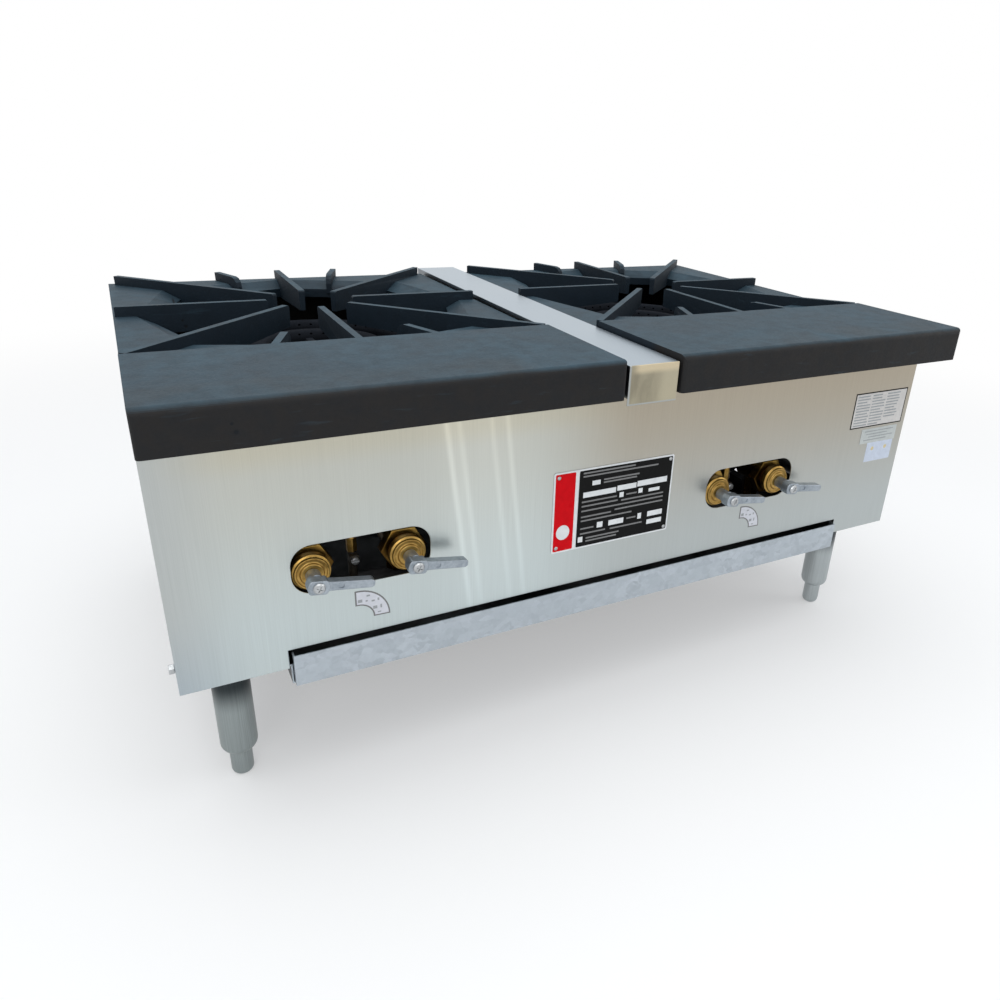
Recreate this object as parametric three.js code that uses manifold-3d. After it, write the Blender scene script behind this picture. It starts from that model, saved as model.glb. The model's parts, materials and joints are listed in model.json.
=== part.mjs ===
// Low double gas stock pot range, modelled at its real size in millimetres, +Z up.
// The range is a stainless box on four legs. Two heavy cast-iron top grates rest on it,
// with a stainless strip between them. Under each grate hangs a two-ring cast burner, and
// each ring has its own brass lever valve behind a window in the front panel.
//
// Working axes: X to the right, Y towards the back, Z up. While it is built the front
// panel's face is at y = 0 and the floor at z = 0; the last lines move the origin to the
// middle of the footprint.

import * as THREE from 'three';
import { mergeVertices } from 'three/addons/utils/BufferGeometryUtils.js';
import Module from 'manifold-3d';

const wasm = await Module();
wasm.setup();

// ---------------------------------------------------------------- driving dimensions

// Body
const body_width = 914.4;
const body_depth = 560;
const body_height = 247.6;
const leg_height = 152.4;
const sheet = 1.5;
const top_flange = 25;
const side_return = 20;
const seat_gap = 0.2;

// Strip between the grates
const strip_width = 59;
const strip_overhang = 48;
const strip_rise = 33.3;
const strip_drop = 40.3;

// Top grates
const grate_inset = 0;
const grate_gap = 3.7;
const grate_overhang = 50.5;
const grate_back_inset = 18;
const grate_height = 39;
const ledge_depth = 165.5;
const ledge_radius = 7;
const ledge_slope = 3;
const plate_step = 11;
const plate_thickness = 9;
const skirt_thickness = 9;
const web_thickness = 10;
const grate_corner = 4;
const opening_side_border = 21;
const opening_end_border = 15;
const opening_corner_border = 60;
const collar_inset = 18;
const collar_drop = 9;
const collar_lip = 11;
const collar_wall = 8;
const rib_top = 7.5;
const rib_foot = 6;
const rib_depth = 25;
const rib_gusset = 33;
const rib_nose = 2.5;
const rib_clear_radius = 50;
const short_rib_offset = 80;
const short_rib_radius = 168;
const short_rib_nose = 12;

// Valves and the windows they show through
const burner_inset = 6;
const valve_pitch = 93;
const valve_rise = 98.6;
const window_rise = 102.6;
const window_shift = 2;
const window_height = 50.5;
const window_radius = 20;
const window_margin = 2;
const bonnet_diameter = 37;
const bonnet_front = 3;
const barrel_diameter = 29;
const barrel_end = 60;
const valve_hexagon = 48;
const hood_diameter = 15;
const hood_end = 80;
const stem_diameter = 8;
const stem_length = 13;

// Lever handles
const lever_length = 52;
const lever_height = 9;
const lever_depth = 10;
const lever_hub = 20;
const lever_hub_height = 14;
const lever_neck = 14;
const lever_standoff = 14.5;
const lever_droop = 9;
const screw_diameter = 4.6;
const screw_head = 11;
const screw_head_height = 2.4;
const running_gap = 0.3;

// Gas pipes
const pipe_diameter = 26.7;
const pipe_bore = 20.9;
const manifold_depth = 45;
const manifold_drop = 50;
const manifold_overrun = 36;
const supply_inset = 62;
const elbow_diameter = 38;
const inlet_stub = 25;

// Burners
const outer_ring_radius = 126;
const inner_ring_radius = 71;
const ring_width = 28;
const ring_height = 28;
const burner_drop = 15;
const hub_diameter = 40;
const tube_diameter = 32;
const throat_diameter = 25;
const bell_diameter = 44;
const bell_length = 12;
const mouth_depth = 90;
const shutter_sheet = 1.6;
const shutter_collar = 12;
const lug_height = 15;
const lug_width = 18;
const bar_width = 30;
const bar_height = 24;
const front_bar_height = 12;
const front_bar_depth = 205;

// Pilots
const pilot_tube_diameter = 6;
const pilot_nut = 11;
const pilot_shift = 2;
const pilot_body_height = 28;
const pilot_nut_height = 18;
const pilot_screw_rise = 22;
const pilot_ring_gap = 12;
const pilot_tip_bore = 3;

// Drip tray and its runners
const notch_side = 96.7;
const notch_height = 20.5;
const tray_side_gap = 3.5;
const tray_sheet = 1.2;
const tray_drop = 17.6;
const tray_front = 6;
const tray_front_height = 34;
const tray_wall = 25;
const tray_back = 40;
const tray_return = 30;
const runner_gap = 0.6;
const runner_lip = 14;
const runner_flange = 20;

// Legs and feet
const leg_inset = 46.2;
const leg_depth = 56;
const leg_diameter = 37;
const leg_wall = 1.6;
const leg_plug = 12;
const foot_height = 33;
const foot_diameter = 22.4;
const foot_stem = 12;
const foot_travel = 20;
const foot_stem_spare = 13;
const stud_diameter = 16;
const stud_length = 30;
const socket_thickness = 3;
const socket_length = 96;

// Bolts through the sides
const bolt_head = 10;
const bolt_head_height = 5;
const bolt_rise = 24;

// ---------------------------------------------------------------- places they give

const half_width = body_width / 2;
const underside = leg_height;
const seat = leg_height + body_height;
const valve_z = underside + valve_rise;
const window_z = underside + window_rise;
const grate_width = half_width - strip_width / 2 - grate_gap - grate_inset;
const grate_x = strip_width / 2 + grate_gap + grate_width / 2;
const grate_back = body_depth - grate_back_inset;
const field_depth = grate_back + grate_overhang - ledge_depth;
const field_y = grate_back - field_depth / 2;
const burner_x = grate_x - burner_inset;
const window_width = valve_pitch + bonnet_diameter + 2 * window_margin;
const manifold_z = valve_z - manifold_drop;
const pipe_r = pipe_diameter / 2;
const supply_x = half_width - supply_inset;
const notch_half = half_width - notch_side;
const tray_half = notch_half - tray_side_gap;
const tray_z = underside - tray_drop;
const tray_end = body_depth - tray_back;
const wall_out = half_width - sheet - seat_gap;
const wall_in = wall_out - sheet;
const leg_x = half_width - leg_inset;
const foot_stem_length = leg_plug + foot_travel + foot_stem_spare;
const ring_top = seat - burner_drop;
const ring_z = ring_top - ring_height;
const rear_bar_z = ring_z - lug_height;
const front_bar_top = valve_z - tube_diameter / 2 - seat_gap;
const divider_low = front_bar_top - front_bar_height - seat_gap - sheet;

// ---------------------------------------------------------------- materials

const looks = {
  stainless: { color: 0xb9bcbc, roughness: 0.36, metalness: 1 },
  strip: { color: 0xd3d7da, roughness: 0.3, metalness: 1 },
  cast: { color: 0x2c3236, roughness: 0.72, metalness: 0.3 },
  burner: { color: 0x4a4c4d, roughness: 0.8, metalness: 0.4 },
  brass: { color: 0xb5893b, roughness: 0.34, metalness: 1 },
  lever: { color: 0x9aa0a5, roughness: 0.45, metalness: 0.9 },
  zinc: { color: 0xa9adb0, roughness: 0.4, metalness: 1 },
  galvanised: { color: 0x9fa9b0, roughness: 0.48, metalness: 0.9 },
  pipe: { color: 0x2a2a2b, roughness: 0.6, metalness: 0.6 },
  aluminium: { color: 0xbfc2c4, roughness: 0.4, metalness: 1 },
  leg: { color: 0x8f9394, roughness: 0.4, metalness: 1 },
};

// ---------------------------------------------------------------- shape tools

// A closed three.js geometry as a solid that can be joined and cut.
function solid(geometry) {
  const bare = geometry.clone();
  bare.deleteAttribute('normal');
  bare.deleteAttribute('uv');
  const merged = mergeVertices(bare, 1e-3);
  const mesh = new wasm.Mesh({
    numProp: 3,
    vertProperties: Float32Array.from(merged.attributes.position.array),
    triVerts: Uint32Array.from(merged.index.array),
  });
  return new wasm.Manifold(mesh);
}

function join(...pieces) {
  return pieces.reduce((sum, piece) => sum.add(piece));
}

function cut(body, ...tools) {
  return tools.reduce((rest, tool) => rest.subtract(tool), body);
}

function geometryOf(manifold) {
  const mesh = manifold.getMesh();
  const geometry = new THREE.BufferGeometry();
  geometry.setAttribute('position', new THREE.BufferAttribute(mesh.vertProperties, 3));
  geometry.setIndex(new THREE.BufferAttribute(mesh.triVerts, 1));
  const flat = geometry.toNonIndexed();
  flat.computeVertexNormals();
  return flat;
}

// A block between two corners.
function block(x0, x1, y0, y1, z0, z1) {
  const geometry = new THREE.BoxGeometry(x1 - x0, y1 - y0, z1 - z0);
  geometry.translate((x0 + x1) / 2, (y0 + y1) / 2, (z0 + z1) / 2);
  return solid(geometry);
}

// Turn a geometry made along its own axis so that the axis lies along x, y or z.
function along(geometry, axis) {
  if (axis === 'x') geometry.rotateZ(-Math.PI / 2);
  if (axis === 'z') geometry.rotateX(Math.PI / 2);
  return geometry;
}

// The radius of a many-sided hole whose flats clear a round piece by the running gap.
function around(radius, sides) {
  return (radius + running_gap) / Math.cos(Math.PI / sides);
}

// A round or many-sided rod of one radius from a to b along an axis.
function rod(axis, radius, a, b, centre = [0, 0, 0], sides = 24) {
  const geometry = new THREE.CylinderGeometry(radius, radius, b - a, sides);
  geometry.translate(0, (a + b) / 2, 0);
  along(geometry, axis);
  geometry.translate(...centre);
  return solid(geometry);
}

// A turned piece: a closed profile of [radius, height] points round an axis, taken with
// its outside going up so that the faces point outwards.
function turned(axis, profile, centre = [0, 0, 0], sides = 24) {
  const points = profile.map(([r, h]) => new THREE.Vector2(r, h));
  if (THREE.ShapeUtils.area(points) < 0) points.reverse();
  const geometry = new THREE.LatheGeometry(points, sides);
  along(geometry, axis);
  geometry.translate(...centre);
  return solid(geometry);
}

// A closed ring profile is given once round, and is closed here.
function turnedRing(axis, profile, centre = [0, 0, 0], sides = 40) {
  return turned(axis, [...profile, profile[0]], centre, sides);
}

function roundedRectangle(x0, x1, y0, y1, radius, Kind = THREE.Shape) {
  const shape = new Kind();
  shape.moveTo(x0 + radius, y0);
  shape.lineTo(x1 - radius, y0);
  shape.absarc(x1 - radius, y0 + radius, radius, -Math.PI / 2, 0, false);
  shape.lineTo(x1, y1 - radius);
  shape.absarc(x1 - radius, y1 - radius, radius, 0, Math.PI / 2, false);
  shape.lineTo(x0 + radius, y1);
  shape.absarc(x0 + radius, y1 - radius, radius, Math.PI / 2, Math.PI, false);
  shape.lineTo(x0, y0 + radius);
  shape.absarc(x0 + radius, y0 + radius, radius, Math.PI, 1.5 * Math.PI, false);
  return shape;
}

// An outline seen from above, raised from z0 to z1.
function raised(shape, z0, z1, curveSegments = 5) {
  const settings = { depth: z1 - z0, bevelEnabled: false, curveSegments };
  const geometry = new THREE.ExtrudeGeometry(shape, settings);
  geometry.translate(0, 0, z0);
  return solid(geometry);
}

// An outline in y and z, drawn out across the width from x0 to x1.
function across(shape, x0, x1, curveSegments = 5) {
  const settings = { depth: x1 - x0, bevelEnabled: false, curveSegments };
  const geometry = new THREE.ExtrudeGeometry(shape, settings);
  const turn = new THREE.Matrix4().makeBasis(
    new THREE.Vector3(0, 1, 0), new THREE.Vector3(0, 0, 1), new THREE.Vector3(1, 0, 0));
  geometry.applyMatrix4(turn);
  geometry.translate(x0, 0, 0);
  return solid(geometry);
}

// An outline in x and z, drawn out from y0 to y1.
function deep(shape, y0, y1, curveSegments = 5) {
  const settings = { depth: y1 - y0, bevelEnabled: false, curveSegments };
  const geometry = new THREE.ExtrudeGeometry(shape, settings);
  geometry.rotateX(Math.PI / 2);
  geometry.translate(0, y1, 0);
  return solid(geometry);
}

function outline(points) {
  return new THREE.Shape(points.map(([a, b]) => new THREE.Vector2(a, b)));
}

// Triangles of a closed surface between two matching rings of points with flat ends.
function between(lower, upper, ends) {
  const places = [];
  const put = (...corners) => corners.forEach((p) => places.push(p[0], p[1], p[2]));
  ends.forEach(([a, b, c]) => {
    put(lower[a], lower[c], lower[b]);
    put(upper[a], upper[b], upper[c]);
  });
  lower.forEach((p, i) => {
    const j = (i + 1) % lower.length;
    put(lower[i], lower[j], upper[j]);
    put(lower[i], upper[j], upper[i]);
  });
  const geometry = new THREE.BufferGeometry();
  geometry.setAttribute('position', new THREE.Float32BufferAttribute(places, 3));
  return solid(geometry);
}

// A solid between two convex outlines of the same number of corners at two heights.
function tapered(low, z0, high, z1) {
  const ends = low.slice(2).map((p, i) => [0, i + 1, i + 2]);
  return between(low.map(([x, y]) => [x, y, z0]), high.map(([x, y]) => [x, y, z1]), ends);
}

// An upright rib with draft: a profile of [distance, height] points, thicker at the top.
function draftedRib(profile, topHeight, lowHeight) {
  const half = (z) => {
    const share = (z - lowHeight) / (topHeight - lowHeight);
    return (rib_foot + (rib_top - rib_foot) * share) / 2;
  };
  const flat = profile.map(([r, z]) => new THREE.Vector2(r, z));
  const ends = THREE.ShapeUtils.triangulateShape(flat, []);
  const far = profile.map(([r, z]) => [r, half(z), z]);
  const near = profile.map(([r, z]) => [r, -half(z), z]);
  return between(far, near, ends);
}

// A round bar along a smooth curve.
function bentRod(curve, radius, steps, sides) {
  const section = new THREE.Shape();
  for (let i = 0; i < sides; i += 1) {
    const angle = (2 * Math.PI * i) / sides;
    const x = radius * Math.cos(angle);
    const y = radius * Math.sin(angle);
    if (i === 0) section.moveTo(x, y);
    else section.lineTo(x, y);
  }
  const settings = { steps, bevelEnabled: false, extrudePath: curve };
  return solid(new THREE.ExtrudeGeometry(section, settings));
}

// ---------------------------------------------------------------- assembly

const range = new THREE.Group();
range.name = 'stock_pot_range';

function place(name, manifold, look, position = [0, 0, 0]) {
  const material = new THREE.MeshStandardMaterial({ ...looks[look] });
  const mesh = new THREE.Mesh(geometryOf(manifold), material);
  mesh.name = name;
  mesh.position.set(...position);
  range.add(mesh);
  return mesh;
}

const sides = [['left', -1], ['right', 1]];
const corners = [
  ['front_left', -1, leg_depth, 1],
  ['front_right', 1, leg_depth, 1],
  ['back_left', -1, body_depth - leg_depth, -1],
  ['back_right', 1, body_depth - leg_depth, -1],
];

// ---------------------------------------------------------------- front and back panels

// The front and back panels wrap round the sides with a short return. Both have a flange
// at the top that carries the grates, and one at the bottom for the legs.
function frontPanel() {
  const face = outline([
    [-half_width, underside], [-notch_half, underside],
    [-notch_half, underside + notch_height], [notch_half, underside + notch_height],
    [notch_half, underside], [half_width, underside],
    [half_width, seat], [-half_width, seat],
  ]);
  sides.forEach(([, side]) => {
    const middle = side * burner_x - valve_pitch / 2 + window_shift;
    face.holes.push(roundedRectangle(
      middle - window_width / 2, middle + window_width / 2,
      window_z - window_height / 2, window_z + window_height / 2,
      window_radius, THREE.Path));
  });
  const pieces = [
    deep(face, 0, sheet, 5),
    block(-half_width, half_width, sheet / 2, top_flange, seat - sheet, seat),
  ];
  sides.forEach(([, side]) => {
    const foot = [side * notch_half, side * half_width].sort((a, b) => a - b);
    const wrap = [side * (half_width - sheet), side * half_width].sort((a, b) => a - b);
    pieces.push(block(foot[0], foot[1], sheet / 2, top_flange, underside, underside + sheet));
    pieces.push(block(wrap[0], wrap[1], sheet / 2, side_return, underside, seat));
  });
  return join(...pieces);
}

function backPanel() {
  const y1 = body_depth;
  const y0 = body_depth - sheet;
  const pieces = [
    block(-half_width, half_width, y0, y1, underside, seat),
    block(-half_width, half_width, y1 - top_flange, y1 - sheet / 2, seat - sheet, seat),
    block(-half_width, half_width, y1 - top_flange, y1 - sheet / 2, underside, underside + sheet),
  ];
  sides.forEach(([, side]) => {
    const wrap = [side * (half_width - sheet), side * half_width].sort((a, b) => a - b);
    pieces.push(block(wrap[0], wrap[1], y1 - side_return, y1 - sheet / 2, underside, seat));
  });
  const inlet = rod('y', around(pipe_r, 20), y0 - 5, y1 + 5, [supply_x, 0, manifold_z], 20);
  return cut(join(...pieces), inlet);
}

// Each side tucks inside the returns of the front and back panels.
function sidePanel(side) {
  const x = (a, b) => [side * a, side * b].sort((p, q) => p - q);
  const y0 = sheet + seat_gap;
  const y1 = body_depth - sheet - seat_gap;
  const f0 = top_flange + seat_gap;
  const f1 = body_depth - top_flange - seat_gap;
  const low = underside + sheet + seat_gap;
  const high = seat - sheet - seat_gap;
  const wall = x(wall_in, wall_out);
  const lip = x(wall_out - top_flange, wall_out);
  const body = join(
    block(...wall, y0, y1, low, high),
    block(...wall, f0, f1, underside, seat),
    block(...lip, f0, f1, seat - sheet, seat),
    block(...lip, f0, f1, underside, underside + sheet));
  return cut(body, boltHole);
}

const boltHole = rod('x', around(bolt_head / 4, 12), -half_width - 5, half_width + 5,
  [0, side_return / 2, underside + bolt_rise], 12);
place('front_panel', cut(frontPanel(), boltHole), 'stainless');
place('back_panel', backPanel(), 'stainless');
sides.forEach(([name, side]) => place(`side_panel_${name}`, sidePanel(side), 'stainless'));

// Bolt with a hexagon head that holds the wrap of the front panel to the side.
sides.forEach(([name, side]) => {
  const bolt = join(
    rod('x', bolt_head / 2, 0, bolt_head_height, [0, 0, 0], 6),
    rod('x', bolt_head / 4, -3 * sheet - 2, 1, [0, 0, 0], 12));
  const mesh = place(`side_bolt_${name}`, bolt, 'zinc',
    [side * (half_width + seat_gap), side_return / 2, underside + bolt_rise]);
  if (side < 0) mesh.rotation.z = Math.PI;
});

// ---------------------------------------------------------------- divider and strip

// The divider stands between the two burner bays. Its wide top carries the inner edges
// of both grates and the strip between them.
const divider_half = strip_width / 2 + grate_gap + skirt_thickness + 2;
const divider = join(
  block(-divider_half, divider_half, top_flange + seat_gap, body_depth - top_flange - seat_gap,
    seat - sheet, seat),
  block(-sheet / 2, sheet / 2, sheet + seat_gap, body_depth - sheet - seat_gap,
    divider_low, seat - sheet - seat_gap),
  block(-sheet / 2, sheet / 2, top_flange + seat_gap, body_depth - top_flange - seat_gap,
    divider_low, seat - sheet / 2),
  block(-top_flange, top_flange, top_flange + seat_gap, body_depth - top_flange - seat_gap,
    divider_low, divider_low + sheet));
place('centre_divider', divider, 'stainless');

// The strip is a channel turned upside down. Its front end is folded down over the edge.
const strip_half = strip_width / 2;
const strip_top = seat + strip_rise;
const strip = join(
  block(-strip_half, strip_half, -strip_overhang, body_depth, strip_top - sheet, strip_top),
  block(-strip_half, strip_half, -strip_overhang, -strip_overhang + sheet,
    strip_top - strip_drop, strip_top - sheet / 2),
  block(-strip_half, strip_half, body_depth - sheet, body_depth,
    seat + seat_gap, strip_top - sheet / 2),
  ...sides.map(([, side]) => block(
    Math.min(side * strip_half, side * (strip_half - sheet)),
    Math.max(side * strip_half, side * (strip_half - sheet)),
    -strip_overhang + sheet / 2, body_depth - sheet / 2, seat + seat_gap, strip_top - sheet / 2)));
place('centre_strip', strip, 'strip');

// ---------------------------------------------------------------- top grates

// A grate is one casting: a shell with a raised front ledge and a dropped plate round an
// eight-sided opening, whose edge slopes down to an upright lip. Eight long ribs run in from
// the edges and the corners with their tops level with the ledge, and four short ribs with
// rounded noses stand between them at the front and back.
// Its own origin is under the middle of the opening, on the seat.
function grate() {
  const half = grate_width / 2;
  const field = field_depth / 2;
  const front = -field - ledge_depth;
  const plate = grate_height - plate_step;
  const soft = 3;

  const outside = new THREE.Shape();
  outside.moveTo(front, 0);
  outside.lineTo(field, 0);
  outside.lineTo(field, plate - soft);
  outside.lineTo(field - soft, plate);
  outside.lineTo(-field + ledge_slope, plate);
  outside.lineTo(-field, grate_height);
  outside.lineTo(front + ledge_radius, grate_height);
  outside.absarc(front + ledge_radius, grate_height - ledge_radius, ledge_radius,
    Math.PI / 2, Math.PI, false);
  const plan = roundedRectangle(-half, half, front, field, grate_corner);
  const shell = across(outside, -half, half, 4).intersect(raised(plan, -1, grate_height + 1, 2));

  const wall = skirt_thickness;
  const inside = outline([
    [front + wall, -1], [field - wall, -1],
    [field - wall, plate - plate_thickness],
    [-field + ledge_slope, plate - plate_thickness],
    [-field - plate_thickness, grate_height - plate_thickness],
    [front + wall + soft, grate_height - plate_thickness],
    [front + wall, grate_height - plate_thickness - soft],
  ]);
  const innerPlan = roundedRectangle(-half + wall, half - wall, front + wall, field - wall, 4);
  const hollow = across(inside, -half + wall, half - wall, 3)
    .intersect(raised(innerPlan, -2, grate_height, 1));

  const corner = [half - opening_corner_border, field - opening_corner_border - 3];
  const rim = [half - opening_side_border, field - opening_end_border];
  const opening = (grow) => {
    const [cx, cy] = [corner[0] + grow, corner[1] + grow];
    const [ex, ey] = [rim[0] + grow, rim[1] + grow];
    return [[ex, 0], [cx, cy], [0, ey], [-cx, cy], [-ex, 0], [-cx, -cy], [0, -ey], [cx, -cy]];
  };
  const slope = collar_inset / collar_drop;
  const lipTop = plate - collar_drop;
  const lipLow = lipTop - collar_lip;
  const clear = opening(-collar_inset);
  const collar = tapered(
    opening(collar_wall - collar_inset), lipLow, opening(collar_wall), plate - 1);
  const hole = join(
    tapered(clear, lipLow - 1, clear, lipTop + 0.5),
    tapered(clear, lipTop, opening(slope), plate + 1));

  const web = block(-half + wall / 2, half - wall / 2,
    -field_y + sheet + 3, -field_y + sheet + 3 + web_thickness,
    0, grate_height - plate_thickness / 2);
  const casting = join(cut(join(cut(shell, hollow), collar), hole), web);

  const lowest = grate_height - rib_gusset;
  const under = plate - plate_thickness + 2;
  const rib = (inner, rimAt, outer, nose) => draftedRib([
    [inner, grate_height - rib_depth],
    [rimAt - 14, lowest],
    [rimAt + 4, lowest],
    [Math.min(rimAt + 24, outer), under],
    [outer, under],
    [outer, grate_height],
    [inner + nose, grate_height],
    [inner + nose * 0.5, grate_height - nose * 0.13],
    [inner + nose * 0.13, grate_height - nose * 0.5],
    [inner, grate_height - nose],
  ], grate_height, lowest);

  const reach = (x, y) => Math.hypot(x, y);
  const diagonal = Math.atan2(field, half);
  const cornerRim = reach(...corner);
  const backReach = reach(half - 10, field - 10);
  const ledgeReach = reach(half - 4, field - 2);
  const turn = (piece, angle) => piece.rotate([0, 0, (angle * 180) / Math.PI]);
  const inner = rib_clear_radius;
  const ribs = [
    turn(rib(inner, rim[0], half - 2, rib_nose), 0),
    turn(rib(inner, cornerRim, backReach, rib_nose), diagonal),
    turn(rib(inner, rim[1], field - 1, rib_nose), Math.PI / 2),
    turn(rib(inner, cornerRim, backReach, rib_nose), Math.PI - diagonal),
    turn(rib(inner, rim[0], half - 2, rib_nose), Math.PI),
    turn(rib(inner, cornerRim, ledgeReach, rib_nose), Math.PI + diagonal),
    turn(rib(inner, rim[1], field + 4, rib_nose), 1.5 * Math.PI),
    turn(rib(inner, cornerRim, ledgeReach, rib_nose), -diagonal),
  ];

  // The short ribs point at the middle of the opening too.
  const lean = Math.atan2(short_rib_offset, field);
  const edgeFall = (rim[1] - corner[1]) / corner[0];
  const shortRim = rim[1] / (Math.cos(lean) + edgeFall * Math.sin(lean));
  const shortEnd = reach(short_rib_offset, field);
  [-1, 1].forEach((side) => {
    const back = rib(short_rib_radius, shortRim, shortEnd - 3, short_rib_nose);
    const front = rib(short_rib_radius, shortRim, shortEnd + 4, short_rib_nose);
    ribs.push(turn(back, Math.PI / 2 - side * lean), turn(front, side * lean - Math.PI / 2));
  });
  return join(casting, ...ribs);
}

const grateCasting = grate();
sides.forEach(([name, side]) => place(`top_grate_${name}`, grateCasting, 'cast',
  [side * grate_x, field_y, seat + seat_gap]));

// ---------------------------------------------------------------- burners

// Own origin: the middle of the rings, at the height of the valve axis.
const riser_top = ring_z - valve_z;
const mouth = mouth_depth - field_y;
const outer_riser = [
  -valve_pitch,
  -Math.sqrt(Math.max(outer_ring_radius ** 2 - valve_pitch ** 2, 1)),
];
const inner_riser = [0, -inner_ring_radius];
const rear_bar_y = Math.sqrt(outer_ring_radius ** 2 - (outer_ring_radius * 0.4) ** 2);

// A ring of the burner: a flat underside and a domed top.
function burnerRing(radius) {
  const a = radius - ring_width / 2;
  const b = radius + ring_width / 2;
  const z0 = riser_top;
  const z1 = riser_top + ring_height;
  const bulge = ring_width * 0.16;
  return turnedRing('z', [
    [a, z0], [b, z0], [b, z1 - bulge * 1.6], [b - bulge * 1.6, z1],
    [a + bulge * 1.6, z1], [a, z1 - bulge * 1.6],
  ], [0, 0, 0], 24);
}

// The mixing tube: a bell mouth, a throat and a bend up into the ring.
function mixingTube(x, riser_y) {
  const r = tube_diameter / 2;
  const bend = tube_diameter * 1.1;
  const bell = bell_diameter / 2;
  const throat = throat_diameter / 2;
  const straight = riser_y - bend;
  const tube = turned('y', [
    [0, straight + 2], [r, straight + 2], [r, mouth + 90], [throat, mouth + 45],
    [bell, mouth + bell_length], [bell, mouth],
    [bell - 5, mouth], [throat - 4, mouth + 34], [0, mouth + 34],
  ], [x, 0, 0], 10);
  const curve = new THREE.QuadraticBezierCurve3(
    new THREE.Vector3(x, straight, 0),
    new THREE.Vector3(x, riser_y, 0),
    new THREE.Vector3(x, riser_y, bend));
  const elbow = bentRod(curve, r, 4, 10);
  const riser = rod('z', r, bend - 2, riser_top + 4, [x, riser_y, 0], 10);
  return join(tube, elbow, riser);
}

function outerBurner() {
  const pieces = [burnerRing(outer_ring_radius), mixingTube(...outer_riser)];
  sides.forEach(([, side]) => {
    const x = side * outer_ring_radius * 0.4;
    pieces.push(block(x - lug_width / 2, x + lug_width / 2,
      rear_bar_y - lug_width / 2, rear_bar_y + lug_width / 2,
      riser_top - lug_height + seat_gap, riser_top + 4));
  });
  return join(...pieces);
}

function innerBurner() {
  const hub = hub_diameter / 2;
  const arm = 10;
  const inside = inner_ring_radius - ring_width / 2 + 3;
  const low = riser_top + 4;
  const high = riser_top + ring_height - 8;
  const pieces = [
    burnerRing(inner_ring_radius),
    mixingTube(...inner_riser),
    turned('z', [[0, low], [hub, low], [hub, high], [hub - 5, high + 4], [0, high + 4]],
      [0, 0, 0], 12),
  ];
  [-1, 1].forEach((side) => {
    pieces.push(block(Math.min(0, side * inside), Math.max(0, side * inside),
      -arm / 2, arm / 2, low, high));
    pieces.push(block(-arm / 2, arm / 2,
      Math.min(0, side * inside), Math.max(0, side * inside), low, high));
  });
  // The tail runs back under the outer ring to the rear bar.
  const tail = inner_ring_radius + ring_width / 2 - 8;
  pieces.push(block(-lug_width / 2, lug_width / 2, tail, rear_bar_y + bar_width / 2 - 3,
    riser_top - lug_height + seat_gap, riser_top - 3));
  pieces.push(block(-lug_width / 2, lug_width / 2, inner_ring_radius - 8, tail + 8,
    riser_top - lug_height + seat_gap, riser_top + 4));
  return join(...pieces);
}

// The air shutter is a cap that turns on the bell of the mixing tube.
function airShutter() {
  const inside = around(bell_diameter / 2, 12);
  const outside = inside + shutter_sheet;
  const face = -running_gap;
  const cap = turnedRing('y', [
    [hood_diameter / 2 + 1.2, face], [inside, face], [inside, shutter_collar],
    [outside, shutter_collar], [outside, face - shutter_sheet],
    [hood_diameter / 2 + 1.2, face - shutter_sheet],
  ], [0, 0, 0], 12);
  const windows = [];
  for (let i = 0; i < 3; i += 1) {
    const angle = ((2 * Math.PI) / 3) * i + Math.PI / 6;
    const reach = (inside + hood_diameter / 2) / 2 + 0.6;
    windows.push(rod('y', 4, face - shutter_sheet - 2, face + 1,
      [reach * Math.cos(angle), 0, reach * Math.sin(angle)], 6));
  }
  return cut(cap, ...windows);
}

const outerCasting = outerBurner();
const innerCasting = innerBurner();
const shutterCap = airShutter();
sides.forEach(([name, side]) => {
  const x = side * burner_x;
  place(`outer_burner_${name}`, outerCasting, 'burner', [x, field_y, valve_z]);
  place(`inner_burner_${name}`, innerCasting, 'burner', [x, field_y, valve_z]);
  place(`air_shutter_outer_${name}`, shutterCap, 'galvanised', [x - valve_pitch, mouth_depth, valve_z]);
  place(`air_shutter_inner_${name}`, shutterCap, 'galvanised', [x, mouth_depth, valve_z]);
});

// Bars across each bay: the rear one carries the rings, the front one the mixing tubes.
sides.forEach(([name, side]) => {
  const span = [side * (sheet / 2 + seat_gap), side * (wall_in - seat_gap)].sort((a, b) => a - b);
  const rear = rear_bar_y + field_y;
  const high = rear_bar_z;
  const low = high - bar_height;
  place(`rear_bar_${name}`, join(
    block(...span, rear - bar_width / 2, rear + bar_width / 2, high - 2 * sheet, high),
    block(...span, rear - bar_width / 2, rear - bar_width / 2 + 2 * sheet, low, high - sheet),
    block(...span, rear + bar_width / 2 - 2 * sheet, rear + bar_width / 2, low, high - sheet)),
  'galvanised');
  const top = front_bar_top;
  place(`front_bar_${name}`, join(
    block(...span, front_bar_depth, front_bar_depth + bar_width, top - 2 * sheet, top),
    block(...span, front_bar_depth, front_bar_depth + 2 * sheet, top - front_bar_height,
      top - sheet)),
  'galvanised');
});

// ---------------------------------------------------------------- gas pipes and valves

const valve_xs = sides.flatMap(([name, side]) => [
  [`outer_${name}`, side * burner_x - valve_pitch],
  [`inner_${name}`, side * burner_x],
]);

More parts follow.
